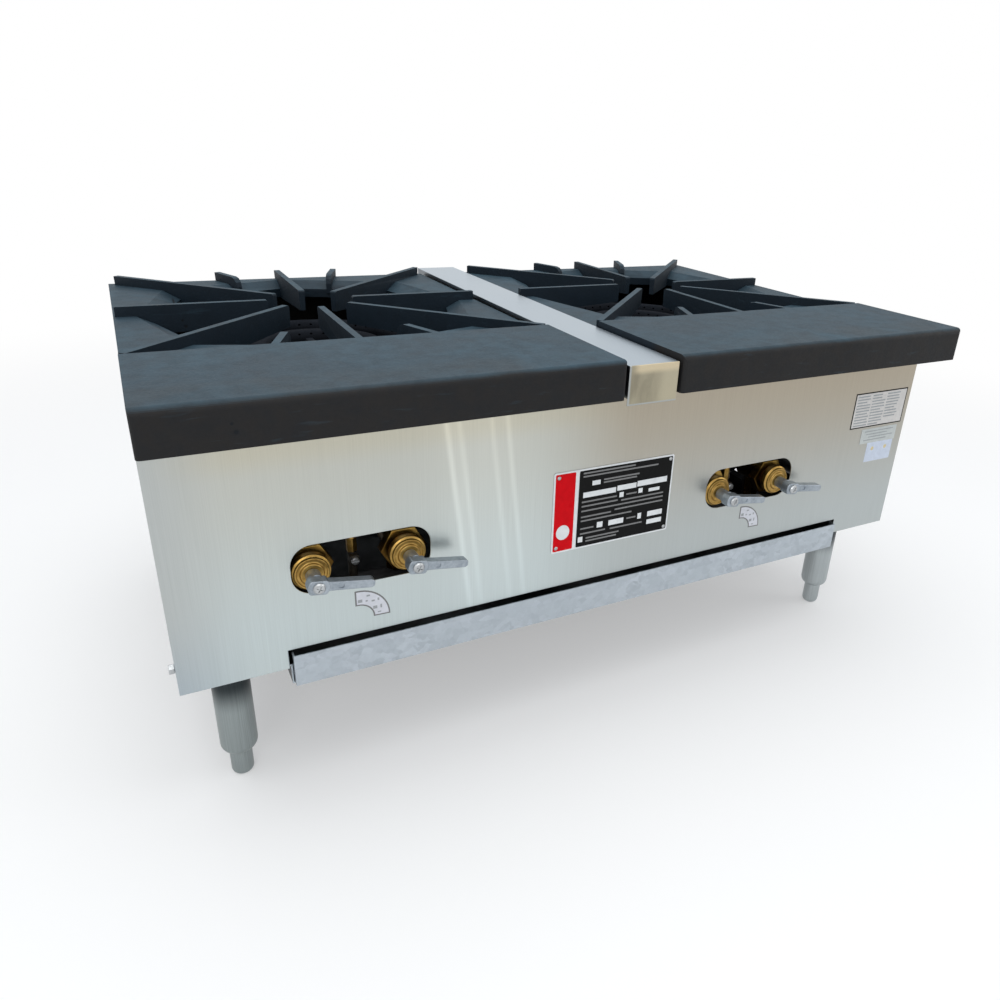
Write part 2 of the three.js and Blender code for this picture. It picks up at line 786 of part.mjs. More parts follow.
// The manifold lies under the valves. Two lugs hold it to the front panel.
function manifold() {
  const start = -burner_x - valve_pitch - manifold_overrun;
  const end = supply_x - elbow_diameter / 2 - seat_gap;
  const at = [0, manifold_depth, manifold_z];
  const pieces = [
    rod('x', pipe_r, start, end, at, 18),
    rod('x', pipe_r + 3, start - 4, start + 16, at, 6),
  ];
  sides.forEach(([, side]) => {
    const x = side * burner_x + valve_pitch / 2;
    pieces.push(block(x - 15, x + 15, sheet + seat_gap, manifold_depth - pipe_r * 0.6,
      manifold_z - 2, manifold_z + 2));
    pieces.push(block(x - 15, x + 15, sheet + seat_gap, sheet + seat_gap + 3,
      manifold_z - 14, manifold_z + 2));
  });
  return join(...pieces);
}
place('gas_manifold', manifold(), 'pipe');

// The supply pipe turns back from the end of the manifold and out through the back panel.
const elbow_ball = new THREE.SphereGeometry(elbow_diameter / 2 - 2, 12, 6);
elbow_ball.translate(supply_x, manifold_depth, manifold_z);
const supply = cut(join(
  solid(elbow_ball),
  rod('x', elbow_diameter / 2 - 0.5, supply_x - elbow_diameter / 2, supply_x - 2,
    [0, manifold_depth, manifold_z], 16),
  rod('y', elbow_diameter / 2 - 0.5, manifold_depth + 2, manifold_depth + elbow_diameter / 2 + 4,
    [supply_x, 0, manifold_z], 16),
  rod('y', pipe_r, manifold_depth, body_depth + inlet_stub, [supply_x, 0, manifold_z], 18)),
rod('y', pipe_bore / 2, body_depth - 20, body_depth + inlet_stub + 5,
  [supply_x, 0, manifold_z], 18));
place('supply_pipe', supply, 'pipe');

// A lever valve: bonnet, barrel with a hexagon whose flat lies on top, outlet hood and the
// inlet that screws into the manifold.
// Own origin: on the valve axis, in the plane of the panel's face.
function valve() {
  const bonnet = bonnet_diameter / 2;
  const barrel = barrel_diameter / 2;
  const hood = hood_diameter / 2;
  const stem = stem_diameter / 2;
  const f = -bonnet_front;
  const body = turned('y', [
    [0, f - stem_length], [stem, f - stem_length], [stem, f], [bonnet - 8, f],
    [bonnet - 7, f + 2.5], [bonnet - 3, f + 2.5], [bonnet - 2.5, f + 4],
    [bonnet, f + 5], [bonnet, f + 12], [bonnet - 3, f + 15], [barrel, f + 15],
    [barrel, barrel_end], [hood, barrel_end + 3], [hood, hood_end - 4],
    [hood - 3, hood_end + 3], [0, hood_end + 3],
  ], [0, 0, 0], 12);
  const flats = rod('y', valve_hexagon / 2, f + 17, f + 29, [0, 0, 0], 6).rotate([0, 30, 0]);
  const inlet = rod('z', 10, pipe_r + seat_gap - manifold_drop, 3 - barrel,
    [0, manifold_depth, 0], 6);
  return join(body, flats, inlet);
}

// The lever: a neck over the stem, a hub with rounded ends and a flat arm that points to the
// right and hangs a little. The hub's front has a hole for the screw.
function lever() {
  const neck0 = -bonnet_front - running_gap;
  const hub0 = -bonnet_front - lever_standoff;
  const hub1 = hub0 - lever_depth - 2;
  const r = lever_hub / 2;
  const arm = outline([
    [0, lever_height * 0.62], [r + 6, lever_height * 0.5], [lever_length - 2, lever_height * 0.46],
    [lever_length, lever_height * 0.3], [lever_length, -lever_height * 0.3],
    [lever_length - 2, -lever_height * 0.46], [r + 6, -lever_height * 0.5],
    [0, -lever_height * 0.62],
  ]);
  const hub = turned('y', [
    [0, hub1], [r - 2, hub1], [r, hub1 + 2], [r, hub0 - 1], [r - 1.5, hub0], [0, hub0],
  ], [0, 0, 0], 12).intersect(
    block(-r - 1, r + 1, hub1 - 1, hub0 + 1, -lever_hub_height / 2, lever_hub_height / 2));
  const body = join(
    rod('y', lever_neck / 2, hub0 - 1, neck0, [0, 0, 0], 10),
    hub,
    deep(arm, hub0 - lever_depth, hub0 - 0.5, 3));
  const socket = rod('y', around(stem_diameter / 2, 10),
    -bonnet_front - stem_length - running_gap, neck0 + 1, [0, 0, 0], 10);
  const screw = rod('y', around(screw_diameter / 2, 8), hub1 - 1,
    -bonnet_front - stem_length - running_gap + 1, [0, 0, 0], 8);
  const groove = block(lever_length * 0.74, lever_length * 0.76, hub0 - lever_depth - 1,
    hub0 - lever_depth + 0.8, -lever_height, lever_height);
  return cut(body, socket, screw, groove);
}

function leverScrew() {
  const face = -bonnet_front - lever_standoff - lever_depth - 2 - seat_gap;
  const end = -bonnet_front - stem_length - 2 * running_gap;
  const head = turned('y', [
    [0, face - screw_head_height], [screw_head / 2 - 1.2, face - screw_head_height],
    [screw_head / 2, face - screw_head_height * 0.4], [screw_head / 2, face],
    [screw_diameter / 2, face], [screw_diameter / 2, end], [0, end],
  ], [0, 0, 0], 8);
  const slot = screw_head_height * 0.45;
  return cut(head,
    block(-3, 3, face - screw_head_height - 1, face - screw_head_height + slot, -0.6, 0.6),
    block(-0.6, 0.6, face - screw_head_height - 1, face - screw_head_height + slot, -3, 3));
}

const valveBody = valve();
const leverArm = lever();
const screwBody = leverScrew();
valve_xs.forEach(([name, x]) => {
  place(`valve_${name}`, valveBody, 'brass', [x, 0, valve_z]);
  const arm = place(`lever_${name}`, leverArm, 'lever', [x, 0, valve_z]);
  const screw = place(`lever_screw_${name}`, screwBody, 'zinc', [x, 0, valve_z]);
  arm.rotation.y = (lever_droop * Math.PI) / 180;
  screw.rotation.y = arm.rotation.y;
});

// ---------------------------------------------------------------- pilots

// Each pilot has its own small valve on the manifold, with an adjusting screw at the front,
// a tube up to the burner and a tip beside the outer ring.
const pilot_base = manifold_z + pipe_r + seat_gap;
const pilot_top = pilot_base + pilot_body_height + pilot_nut_height;
sides.forEach(([name, side]) => {
  const x = side * burner_x - valve_pitch / 2 + pilot_shift;
  const y = manifold_depth;
  const nut = pilot_nut / 2;
  const tube = pilot_tube_diameter / 2;
  const body = cut(join(
    rod('z', nut - 1, pilot_base, pilot_base + pilot_body_height + 1, [x, y, 0], 8),
    rod('z', nut, pilot_base + pilot_body_height, pilot_top, [x, y, 0], 6),
    block(x - 4.5, x + 4.5, y - 10, y, pilot_base + pilot_screw_rise - 4.5,
      pilot_base + pilot_screw_rise + 4.5)),
  rod('y', around(2.2, 8), y - 12, y - 3, [x, 0, pilot_base + pilot_screw_rise], 8),
  rod('z', around(tube, 8), pilot_top - 6, pilot_top + 1, [x, y, 0], 8));
  place(`pilot_valve_${name}`, body, 'brass');

  const screw = cut(join(
    rod('y', 4, -14.5, -10.3, [0, 0, 0], 10),
    rod('y', 2.2, -11, -3.5, [0, 0, 0], 8)),
  block(-0.6, 0.6, -15, -13.4, -5, 5));
  place(`pilot_screw_${name}`, screw, 'zinc', [x, y, pilot_base + pilot_screw_rise]);

  // The tube goes up behind the panel and then back to the edge of the outer ring.
  const edge = outer_ring_radius + ring_width / 2;
  const off_middle = valve_pitch / 2 - pilot_shift;
  const ring_front = field_y - Math.sqrt(Math.max(edge ** 2 - (off_middle - 5) ** 2, 1));
  const tip_y = ring_front - pilot_ring_gap;
  const tip_z = ring_z + 4;
  const route = new THREE.CatmullRomCurve3([
    new THREE.Vector3(x, y, pilot_top - 5),
    new THREE.Vector3(x, y, pilot_top + 8),
    new THREE.Vector3(x, y + 8, pilot_top + 30),
    new THREE.Vector3(x, (y + tip_y) / 2, (pilot_top + tip_z) / 2),
    new THREE.Vector3(x, tip_y - 8, tip_z - 30),
    new THREE.Vector3(x, tip_y, tip_z - 12),
    new THREE.Vector3(x, tip_y, tip_z + pilot_tip_bore - running_gap),
  ]);
  place(`pilot_tube_${name}`, bentRod(route, tube, 13, 6), 'aluminium');
  const tip = cut(join(
    rod('z', 6, tip_z, tip_z + 22, [x, tip_y, 0], 6),
    block(x - 5, x + 5, tip_y, ring_front - seat_gap - 0.4, tip_z + 4, tip_z + 7)),
  rod('z', 2, tip_z + 12, tip_z + 23, [x, tip_y, 0], 8),
  rod('z', around(tube, 8), tip_z - 1, tip_z + pilot_tip_bore, [x, tip_y, 0], 8));
  place(`pilot_tip_${name}`, tip, 'brass');
});

// ---------------------------------------------------------------- drip tray

// The galvanised tray slides out to the front under the notch of the panel.
function dripTray() {
  const t = tray_sheet;
  const h = tray_half;
  const front = -tray_front;
  const z = tray_z;
  const pieces = [
    block(-h, h, front, tray_end, z, z + t),
    block(-h, h, front, front + t, z, z + tray_front_height),
    block(-h, h, tray_end - t, tray_end, z, z + tray_wall),
  ];
  sides.forEach(([, side]) => {
    const x = [side * (h - t), side * h].sort((a, b) => a - b);
    pieces.push(block(...x, front, tray_end, z, z + tray_wall));
    pieces.push(block(...x, front, tray_return, z, z + tray_front_height));
  });
  return join(...pieces);
}
place('drip_tray', dripTray(), 'galvanised');

// A runner hangs from the bottom flanges of the front and back panels.
const runner_x = tray_half + runner_gap;
const runner_out = runner_x + sheet + runner_flange;
sides.forEach(([name, side]) => {
  const x = (a, b) => [side * a, side * b].sort((p, q) => p - q);
  const top = underside + sheet + seat_gap;
  const low = tray_z - seat_gap - sheet;
  const y0 = sheet + seat_gap;
  const y1 = body_depth - top_flange - seat_gap;
  place(`tray_runner_${name}`, join(
    block(...x(runner_x, runner_out), y0, body_depth - sheet - seat_gap, top, top + sheet),
    block(...x(runner_x, runner_x + sheet), y0, y1, low, top + sheet / 2),
    block(...x(runner_x - runner_lip, runner_x + sheet), y0, y1, low, low + sheet)),
  'galvanised');
});

// ---------------------------------------------------------------- legs

corners.forEach(([name, side, y, inward]) => {
  const x = side * leg_x;
  const r = leg_diameter / 2;
  const top = underside - seat_gap;
  const stem = foot_stem / 2;
  const stud = stud_diameter / 2;
  const bore = r - leg_wall;
  const studHole = around(stud, 12);
  const stemHole = around(stem, 12);

  // The leg is a tube with a threaded plug welded in at each end.
  const leg = turnedRing('z', [
    [r, foot_height], [r, top], [studHole, top], [studHole, top - leg_plug],
    [bore, top - leg_plug], [bore, foot_height + leg_plug], [stemHole, foot_height + leg_plug],
    [stemHole, foot_height],
  ], [0, 0, 0], 12);
  place(`leg_${name}`, leg, 'leg', [x, y, 0]);

  // The foot screws in and out of the leg to level the range.
  const foot = turned('z', [
    [0, 0], [foot_diameter / 2 - 4, 0], [foot_diameter / 2, 5],
    [foot_diameter / 2, foot_height - 2], [foot_diameter / 2 - 1.5, foot_height - seat_gap],
    [stem, foot_height - seat_gap], [stem, foot_stem_length + foot_height],
    [0, foot_stem_length + foot_height],
  ], [0, 0, 0], 10);
  place(`foot_${name}`, foot, 'leg', [x, y, 0]);

  // The socket plate lies on the bottom flanges and its stud goes down into the leg.
  const x0 = runner_out + 3;
  const x1 = wall_in - seat_gap;
  const edge = y - inward * (leg_depth - sheet - seat_gap);
  const [y0, y1] = [edge, edge + inward * socket_length].sort((a, b) => a - b);
  const z = underside + sheet + seat_gap;
  const plate = block(Math.min(side * x0, side * x1), Math.max(side * x0, side * x1),
    y0, y1, z, z + socket_thickness);
  place(`leg_socket_${name}`, join(plate,
    rod('z', stud, top - stud_length, z + 1, [x, y, 0], 12)), 'zinc');
});

// ---------------------------------------------------------------- origin

// The origin is on the floor, under the middle of the whole range.
const foremost = -Math.max(grate_overhang, strip_overhang);
const rearmost = body_depth + inlet_stub;
range.position.set(0, -(foremost + rearmost) / 2, 0);
range.updateMatrixWorld(true);

export default range;
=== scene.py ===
"""A low double stock pot range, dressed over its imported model.

Everything is in the model's own frame: X to the right, Y to the back, Z up. Sizes are in
millimetres and are turned into metres where meshes are made. Only the camera, the stage and
the grain of the materials are in metres.
"""

import json
import random
from math import cos, pi, radians, sin, sqrt

import bmesh
import bpy
from mathutils import Matrix, Vector


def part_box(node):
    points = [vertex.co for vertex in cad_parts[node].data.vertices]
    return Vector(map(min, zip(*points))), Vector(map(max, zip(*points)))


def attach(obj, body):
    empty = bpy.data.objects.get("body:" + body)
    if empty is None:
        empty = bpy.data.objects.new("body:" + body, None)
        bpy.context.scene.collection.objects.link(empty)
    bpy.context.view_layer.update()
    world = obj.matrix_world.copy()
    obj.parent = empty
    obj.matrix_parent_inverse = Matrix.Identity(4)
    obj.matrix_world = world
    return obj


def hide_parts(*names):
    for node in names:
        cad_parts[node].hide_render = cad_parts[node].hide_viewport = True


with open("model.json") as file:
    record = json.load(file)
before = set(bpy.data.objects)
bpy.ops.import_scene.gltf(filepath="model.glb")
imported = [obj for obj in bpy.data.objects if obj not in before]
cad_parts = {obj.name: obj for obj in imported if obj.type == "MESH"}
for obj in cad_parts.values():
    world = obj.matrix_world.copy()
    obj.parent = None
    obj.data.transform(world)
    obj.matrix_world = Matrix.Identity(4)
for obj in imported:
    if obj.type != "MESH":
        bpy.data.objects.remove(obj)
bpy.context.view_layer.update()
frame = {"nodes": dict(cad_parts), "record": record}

MM = 0.001
GAP = 0.2  # play between pieces
NODES = frame["nodes"]
SIDES = ("left", "right")
VALVES = ("outer_left", "inner_left", "outer_right", "inner_right")
CORNERS = ("front_left", "front_right", "back_left", "back_right")
random.seed(7)

# ---- places from the frame


def centre(node):
    low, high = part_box(node)
    return (low + high) / 2 / MM


def low_of(node):
    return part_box(node)[0] / MM


def high_of(node):
    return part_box(node)[1] / MM


PANEL_Y = low_of("front_panel").y
PANEL_LOW = low_of("front_panel").z
SEAT = high_of("front_panel").z
BACK_Y = high_of("back_panel").y
HALF_WIDTH = high_of("front_panel").x
JOINTS = {joint["name"]: joint for joint in frame["record"]["behaviour"]["joints"]}


def axis_of(joint):
    """A point on a hinge's axis, in millimetres."""
    return Vector(JOINTS[joint]["pos_m"]) / MM


VALVE_AXIS = {name: axis_of(f"lever_{name}_turn") for name in VALVES}
VALVE_Z = VALVE_AXIS["inner_left"].z
BURNER_X = {side: VALVE_AXIS[f"inner_{side}"].x for side in SIDES}


def placed(name, data):
    """A new object in the scene."""
    made = bpy.data.objects.new(name, data)
    bpy.context.scene.collection.objects.link(made)
    return made


def times(values, gain):
    return tuple(value * gain for value in values)


# ---- camera

# The photograph's camera: metres, degrees and pixels.
CAMERA_PLACE = (-0.4493, -0.92625, 0.6285)
CAMERA_YAW = 29.86
CAMERA_PITCH = 24.22
CAMERA_ROLL = 3.0
FOCAL_PIXELS = 787.7
CENTRE_PIXEL = (561.1, 493.6)
FRAME_PIXELS = 1000
SENSOR = 36


def make_camera():
    yaw, pitch, roll = (radians(a) for a in (CAMERA_YAW, CAMERA_PITCH, CAMERA_ROLL))
    turn = (Matrix.Rotation(-yaw, 4, "Z") @ Matrix.Rotation(pi / 2 - pitch, 4, "X")
            @ Matrix.Rotation(roll, 4, "Z"))
    data = bpy.data.cameras.new("camera")
    data.sensor_width = SENSOR
    data.lens = FOCAL_PIXELS * SENSOR / FRAME_PIXELS
    data.shift_x = (FRAME_PIXELS / 2 - CENTRE_PIXEL[0]) / FRAME_PIXELS
    data.shift_y = (CENTRE_PIXEL[1] - FRAME_PIXELS / 2) / FRAME_PIXELS
    camera = placed("camera", data)
    camera.matrix_world = Matrix.Translation(CAMERA_PLACE) @ turn
    bpy.context.scene.camera = camera


# ---- material tools


class Nodes:
    """A node tree being made, and the few nodes that repeat."""

    def __init__(self, tree):
        self.tree = tree

    def feed(self, value, socket):
        """A number, a vector, a colour or another node's output into a socket."""
        if isinstance(value, bpy.types.NodeSocket):
            self.tree.links.new(value, socket)
        elif socket.type == "RGBA":
            socket.default_value = (*value, 1)
        else:
            socket.default_value = value

    def node(self, kind, fed=None, **settings):
        """A new node with its settings, and with what is fed into its sockets."""
        made = self.tree.nodes.new("ShaderNode" + kind)
        for key, value in settings.items():
            setattr(made, key, value)
        for socket, value in (fed or {}).items():
            self.feed(value, made.inputs[socket])
        return made

    def maths(self, operation, a, b=0.0):
        return self.node("Math", {0: a, 1: b}, operation=operation).outputs[0]

    def share(self, value, at_none, at_full, least=0.0):
        """A smooth change from 0, or another least share, to 1 between two values."""
        fed = {"Value": value, "From Min": at_none, "From Max": at_full, "To Min": least}
        return self.node("MapRange", fed, interpolation_type="SMOOTHSTEP").outputs["Result"]

    def seen_straight(self):
        """1 for what the camera sees straight on, in a gloss or through glass."""
        path = self.node("LightPath").outputs
        seen = self.maths("MAXIMUM", path["Is Camera Ray"], path["Is Glossy Ray"])
        return self.maths("MAXIMUM", seen, path["Is Transmission Ray"])

    def end(self, node, lit, seen, share):
        """The tree's last node gets one shader, and a share of another in its place."""
        mix = self.node("MixShader", {0: share, 1: lit, 2: seen})
        self.feed(mix.outputs["Shader"], self.tree.nodes[node].inputs["Surface"])


class Surface(Nodes):
    """A material being made, from its object coordinates to its shader."""

    def __init__(self, name, metallic, roughness):
        self.material = bpy.data.materials.new(name)
        self.material.use_nodes = True
        super().__init__(self.material.node_tree)
        self.shader = self.tree.nodes["Principled BSDF"]
        self.give("Metallic", metallic)
        self.give("Roughness", roughness)
        self.place = self.node("TexCoord").outputs["Object"]

    def give(self, socket, value):
        """A number, a colour or another node's output for the shader."""
        self.feed(value, self.shader.inputs[socket])

    def stretched(self, scale):
        """Object coordinates in metres, times one scale or a scale for each axis."""
        if not isinstance(scale, tuple):
            scale = (scale, scale, scale)
        return self.node("Mapping", {"Vector": self.place, "Scale": scale}).outputs["Vector"]

    def noise(self, scale, detail, rough, distortion=0.0):
        fed = {"Vector": self.stretched(scale), "Scale": 1, "Detail": detail,
               "Roughness": rough, "Distortion": distortion}
        return self.node("TexNoise", fed).outputs["Fac"]

    def cells(self, scale, channel):
        """Cells of random greys, taken from one channel of the cells' colours."""
        cells = self.node("TexVoronoi", {"Vector": self.stretched(scale), "Scale": 1})
        return self.node("SeparateColor", {0: cells.outputs["Color"]}).outputs[channel]

    def ramp(self, fac, *stops):
        """Two colours or greys at places along a 0 to 1 value."""
        made = self.node("ValToRGB", {"Fac": fac})
        for element, (at, colour) in zip(made.color_ramp.elements, stops):
            element.position = at
            value = colour if isinstance(colour, tuple) else (colour, colour, colour)
            element.color = (*value, 1)
        return made.outputs["Color"]

    def mix(self, fac, a, b, blend="MIX"):
        fed = {0: fac, 6: a, 7: b}
        return self.node("Mix", fed, data_type="RGBA", blend_type=blend).outputs[2]

    def along(self, axis):
        """The surface's place along X, Y or Z, in millimetres."""
        parts = self.node("SeparateXYZ", {0: self.place})
        return self.maths("MULTIPLY", parts.outputs[axis], 1 / MM)

    def upward(self):
        """0 on walls, 1 on level tops."""
        normal = self.node("NewGeometry").outputs["Normal"]
        parts = self.node("SeparateXYZ", {0: normal})
        return self.maths("MAXIMUM", parts.outputs["Z"], 0.0)

    def bump(self, height, distance, strength, below=None):
        fed = {"Strength": strength, "Distance": distance, "Height": height}
        if below is not None:
            fed["Normal"] = below
        normal = self.node("Bump", fed).outputs["Normal"]
        self.give("Normal", normal)
        return normal


def brushed(name, grain, low, high, rough, wash):
    """Sheet steel with drawn grain: grain is a scale for each axis, small along the lines."""
    s = Surface(name, 1.0, rough)
    fine = s.noise(grain, 4, 0.6)
    broad = s.noise(times(grain, 0.04), 3, 0.5)
    patches = s.noise((5, 5, 4), 3, 0.5)
    base = s.ramp(fine, (0.3, low), (0.7, high))
    base = s.mix(s.maths("MULTIPLY", broad, 0.35), base, high)
    s.give("Base Color", s.mix(1.0, base, wash(s), "MULTIPLY"))
    s.give("Roughness", s.ramp(s.mix(0.4, fine, patches), (0.3, rough - 0.05), (0.7, rough + 0.07)))
    s.bump(fine, 0.0001, 0.3)
    return s.material


def shaded_inside(s, outside):
    """Painted shade: the faces inside the box go dark, standing in for the shade inside it."""
    skin = 1.0
    inside = s.maths("LESS_THAN", s.maths("ABSOLUTE", s.along("X")), HALF_WIDTH - 3 * skin)
    depth = s.along("Y")
    inside = s.maths("MULTIPLY", inside, s.maths("GREATER_THAN", depth, PANEL_Y + skin))
    inside = s.maths("MULTIPLY", inside, s.maths("LESS_THAN", depth, BACK_Y - skin))
    # the near-black colour here is painted shade
    return s.mix(inside, outside, (0.075, 0.073, 0.072))


# Heights between which the sheets' straw tint comes in: partly heat tint and partly a painted
# reflection.
BODY_HEAT_AND_REFLECTION = (180, 395)
FRONT_HEAT_AND_REFLECTION = (175, 392)


def body_wash(s):
    """A straw tint towards the grates, partly heat tint and partly a painted reflection, a cooler
    tone below, and painted shade inside the box.
    """
    # a straw tint upwards and a cooler tone below: partly heat tint, partly a painted reflection
    heat = s.share(s.along("Z"), *BODY_HEAT_AND_REFLECTION)
    return shaded_inside(s, s.mix(heat, (0.92, 1.0, 1.03), (0.93, 0.89, 0.8)))


# Upright painted sheen lines where the grain would catch the light: place, half width and gain.
SHEEN_LINES = ((-197, 5, 0.22), (-184, 5, 0.13), (-151, 5, 0.12), (-134, 5, 0.16), (-190, 16, 0.06),
            (-160, 85, 0.1))
LINE_LEAN = 0.115
LINE_TOP = 370
LINE_HEIGHTS = (40, 330)
# The left half is straw-coloured in a narrow band under the ledge.
SCORCH = (350, 378)
# Where the left half goes over into the right, and where the left end gets duller; the darker right
# half and the duller left end are painted reflection.
MIDDLE = (-110, 30)
LEFT_END = (-380, -470)
LEFT_END_LOW = (250, 110)


def front_wash(s):
    """The front panel's straw tint, stronger to the right and partly heat tint, partly painted
    reflection, with painted sheen lines.
    """
    x, z = s.along("X"), s.along("Z")
    heat = s.share(z, *FRONT_HEAT_AND_REFLECTION)
    # the straw tint is partly heat tint and partly painted reflection; the right half's darker tone
    # is painted reflection
    left = s.mix(heat, (1.01, 1.12, 1.14), (0.97, 0.97, 0.89))
    left = s.mix(s.share(z, *SCORCH), left, (0.98, 0.94, 0.79))
    right = s.mix(heat, (0.86, 0.92, 0.93), (0.76, 0.67, 0.54))
    base = s.mix(s.share(x, *MIDDLE), left, right)
    # painted reflection: the left end gets duller and bluer low down
    left_end = s.mix(s.share(z, *LEFT_END_LOW), (0.86, 0.9, 0.9), (0.71, 0.82, 0.92))
    base = s.mix(s.share(x, *LEFT_END), base, left_end)
    # painted sheen: bright upright lines in the grain, leaning a little and fading out low down
    leaned = s.maths("ADD", x, s.maths("MULTIPLY", s.maths("SUBTRACT", z, LINE_TOP), LINE_LEAN))
    total = 1.0
    for place, half, gain in SHEEN_LINES:
        away = s.maths("ABSOLUTE", s.maths("SUBTRACT", leaned, place))
        total = s.maths("ADD", s.maths("MULTIPLY", s.share(away, half, 0), gain), total)
    strength = s.share(z, *LINE_HEIGHTS)
    return shaded_inside(s, s.mix(1.0, base, s.mix(strength, (1.0, 1.0, 1.0), total), "MULTIPLY"))


def strip_wash(s):
    """The strip's top has a painted cool sky reflection and its walls painted shade; its folded
    front end has a straw heat tint, with painted highlights at its bend, hem and left edge.
    """
    low, high = low_of("centre_strip"), high_of("centre_strip")
    x, z = s.along("X"), s.along("Z")
    stains = s.ramp(s.noise((60, 60, 28), 3, 0.5, 0.6), (0.35, (0.51, 0.46, 0.34)),
                    (0.65, (0.68, 0.62, 0.455)))
    stains = s.mix(s.share(x, low.x + 22, high.x - 12), stains, (0.84, 0.76, 0.56))
    # painted highlight along the front end's top bend
    bend = s.maths("MULTIPLY", s.share(z, high.z - 11, high.z - 4), s.share(x, low.x, low.x + 14))
    stains = s.mix(bend, stains, (1.15, 0.98, 0.68))
    # painted highlight: a pale line along the hem and the left edge
    hem_and_edge_highlight = s.share(z, low.z + 2.4, low.z + 1.2)
    stains = s.mix(s.maths("MAXIMUM", hem_and_edge_highlight, s.share(x, low.x + 3, low.x + 1)), stains,
                   (0.75, 0.78, 0.76))
    # painted light: level tops get a cool sky reflection, walls get painted shade
    side = s.mix(s.share(s.upward(), 0.2, 0.9), (0.3, 0.33, 0.36), (0.75, 0.87, 0.97))
    return s.mix(s.share(s.along("Y"), low.y + 1.6, low.y + 0.6), side, stains)


def leg_wash(s):
    """The legs have painted shade just under the box, and a painted lighting difference that leaves
    them duller on the left.
    """
    # painted light: darker on the left, paler on the right
    sheen_and_wear_tone = s.mix(s.share(s.along("X"), -200, 200), (0.85, 0.89, 0.88), (1.2, 1.22, 1.23))
    # painted shade just under the box, darkest at the top
    shade_under_box = s.share(s.along("Z"), PANEL_LOW - 68, PANEL_LOW - 32)
    return s.mix(1.0, sheen_and_wear_tone, s.mix(shade_under_box, (1.0, 1.0, 1.0), (0.12, 0.13, 0.14)), "MULTIPLY")


# Small casting pits on the left ledge's lip: x, z and radius.
PITS = ((-386.5, 414, 2.4), (-389, 421, 1.6))


def pitted(s):
    """The hollow of the casting pits: 0 at their bottoms, 1 elsewhere."""
    total = 1.0
    for x, z, radius in PITS:
        dx = s.maths("SUBTRACT", s.along("X"), x)
        dz = s.maths("SUBTRACT", s.along("Z"), z)
        away = s.maths("ADD", s.maths("MULTIPLY", dx, dx), s.maths("MULTIPLY", dz, dz))
        away = s.maths("SQRT", away)
        total = s.maths("MULTIPLY", total, s.share(away, radius * 0.3, radius * 1.2))
    return total


# The ledges' lips are a more neutral black than the castings behind them.
LIP_PAINT = (0.0115, 0.0108, 0.0108)


def cast_iron(name, dark, sheen_and_wear_tone, rough, grain=420, gloss=0.2, pits=False):
    """Painted cast iron: sand texture, mottled paint, and paler tops that are partly rubbed by pots
    and partly a painted sky sheen.
    """
    s = Surface(name, 0.0, rough)
    s.give("Specular IOR Level", gloss)
    sand = s.noise(grain, 4, 0.6)
    lumps = s.noise(60, 3, 0.55)
    patches = s.noise(9, 4, 0.6, 0.6)
    scuffs = s.noise((22, 160, 160), 3, 0.6, 0.4)
    # paler level tops in patches: partly wear from pots, partly a painted sky sheen
    top_sheen_and_rub = s.ramp(s.maths("MULTIPLY", s.upward(), s.ramp(patches, (0.3, 0.72), (0.7, 1.0))),
                 (0.5, 0.0), (1.0, 1.0))
    paint = s.mix(s.share(s.along("Y"), PANEL_Y + 10, PANEL_Y - 5), dark, LIP_PAINT)
    base = s.mix(top_sheen_and_rub, paint, sheen_and_wear_tone)
    base = s.mix(s.ramp(scuffs, (0.62, 0.0), (0.78, 0.18)), base, times(sheen_and_wear_tone, 1.6))
    base = s.mix(s.ramp(lumps, (0.35, 0.3), (0.6, 0.0)), base, times(dark, 0.55))
    if pits:
        sound = pitted(s)
        base = s.mix(sound, times(dark, 0.3), base)
        lumps = s.maths("MULTIPLY", lumps, sound)
    s.give("Base Color", base)
    s.give("Roughness", s.ramp(s.mix(0.5, patches, sand), (0.3, rough - 0.08), (0.7, rough + 0.1)))
    under = s.bump(lumps, 0.0006, 0.5)
    s.bump(sand, 0.00035, 0.55, under)
    return s.material


def shade_and_stains_inside(s):
    """Galvanised sheet behind the front panel: uneven stains from spills and heat over a painted
    shade that darkens it all inside the box.
    """
    # painted shade: strong darkening inside the box, uneven like spill stains
    spills_over_shade = s.ramp(s.noise(16, 3, 0.6, 0.5), (0.35, (0.12, 0.115, 0.11)),
                    (0.7, (0.22, 0.215, 0.21)))
    return s.mix(s.share(s.along("Y"), PANEL_Y + 1, PANEL_Y + 6), (1.0, 1.0, 1.0), spills_over_shade)


def galvanised(name):
    """Zinc-dipped sheet with its crystal spangle."""
    s = Surface(name, 1.0, 0.45)
    stains_and_shade = shade_and_stains_inside(s)
    s.place = wobbled(s)
    coarse = s.cells((110, 110, 150), 0)
    finer = s.cells((240, 240, 300), 1)
    both = s.maths("ADD", s.maths("MULTIPLY", coarse, 0.7), s.maths("MULTIPLY", finer, 0.3))
    clouds = s.noise(28, 4, 0.6)
    base = s.ramp(both, (0.0, (0.36, 0.4, 0.44)), (1.0, (0.54, 0.59, 0.64)))
    base = s.mix(s.ramp(clouds, (0.35, 0.55), (0.65, 0.1)), base, (0.42, 0.47, 0.51))
    s.give("Base Color", s.mix(1.0, base, stains_and_shade, "MULTIPLY"))
    s.give("Roughness", s.ramp(both, (0.0, 0.34), (1.0, 0.56)))
    s.bump(both, 0.00012, 0.3)
    return s.material


def wobbled(s):
    """Object coordinates pushed about a little, so that cells get uneven edges."""
    push = s.node("TexNoise", {"Vector": s.place, "Scale": 90}).outputs["Color"]
    less = s.node("VectorMath", {0: push, "Scale": 0.009}, operation="SCALE").outputs[0]
    return s.node("VectorMath", {0: s.place, 1: less}, operation="ADD").outputs[0]


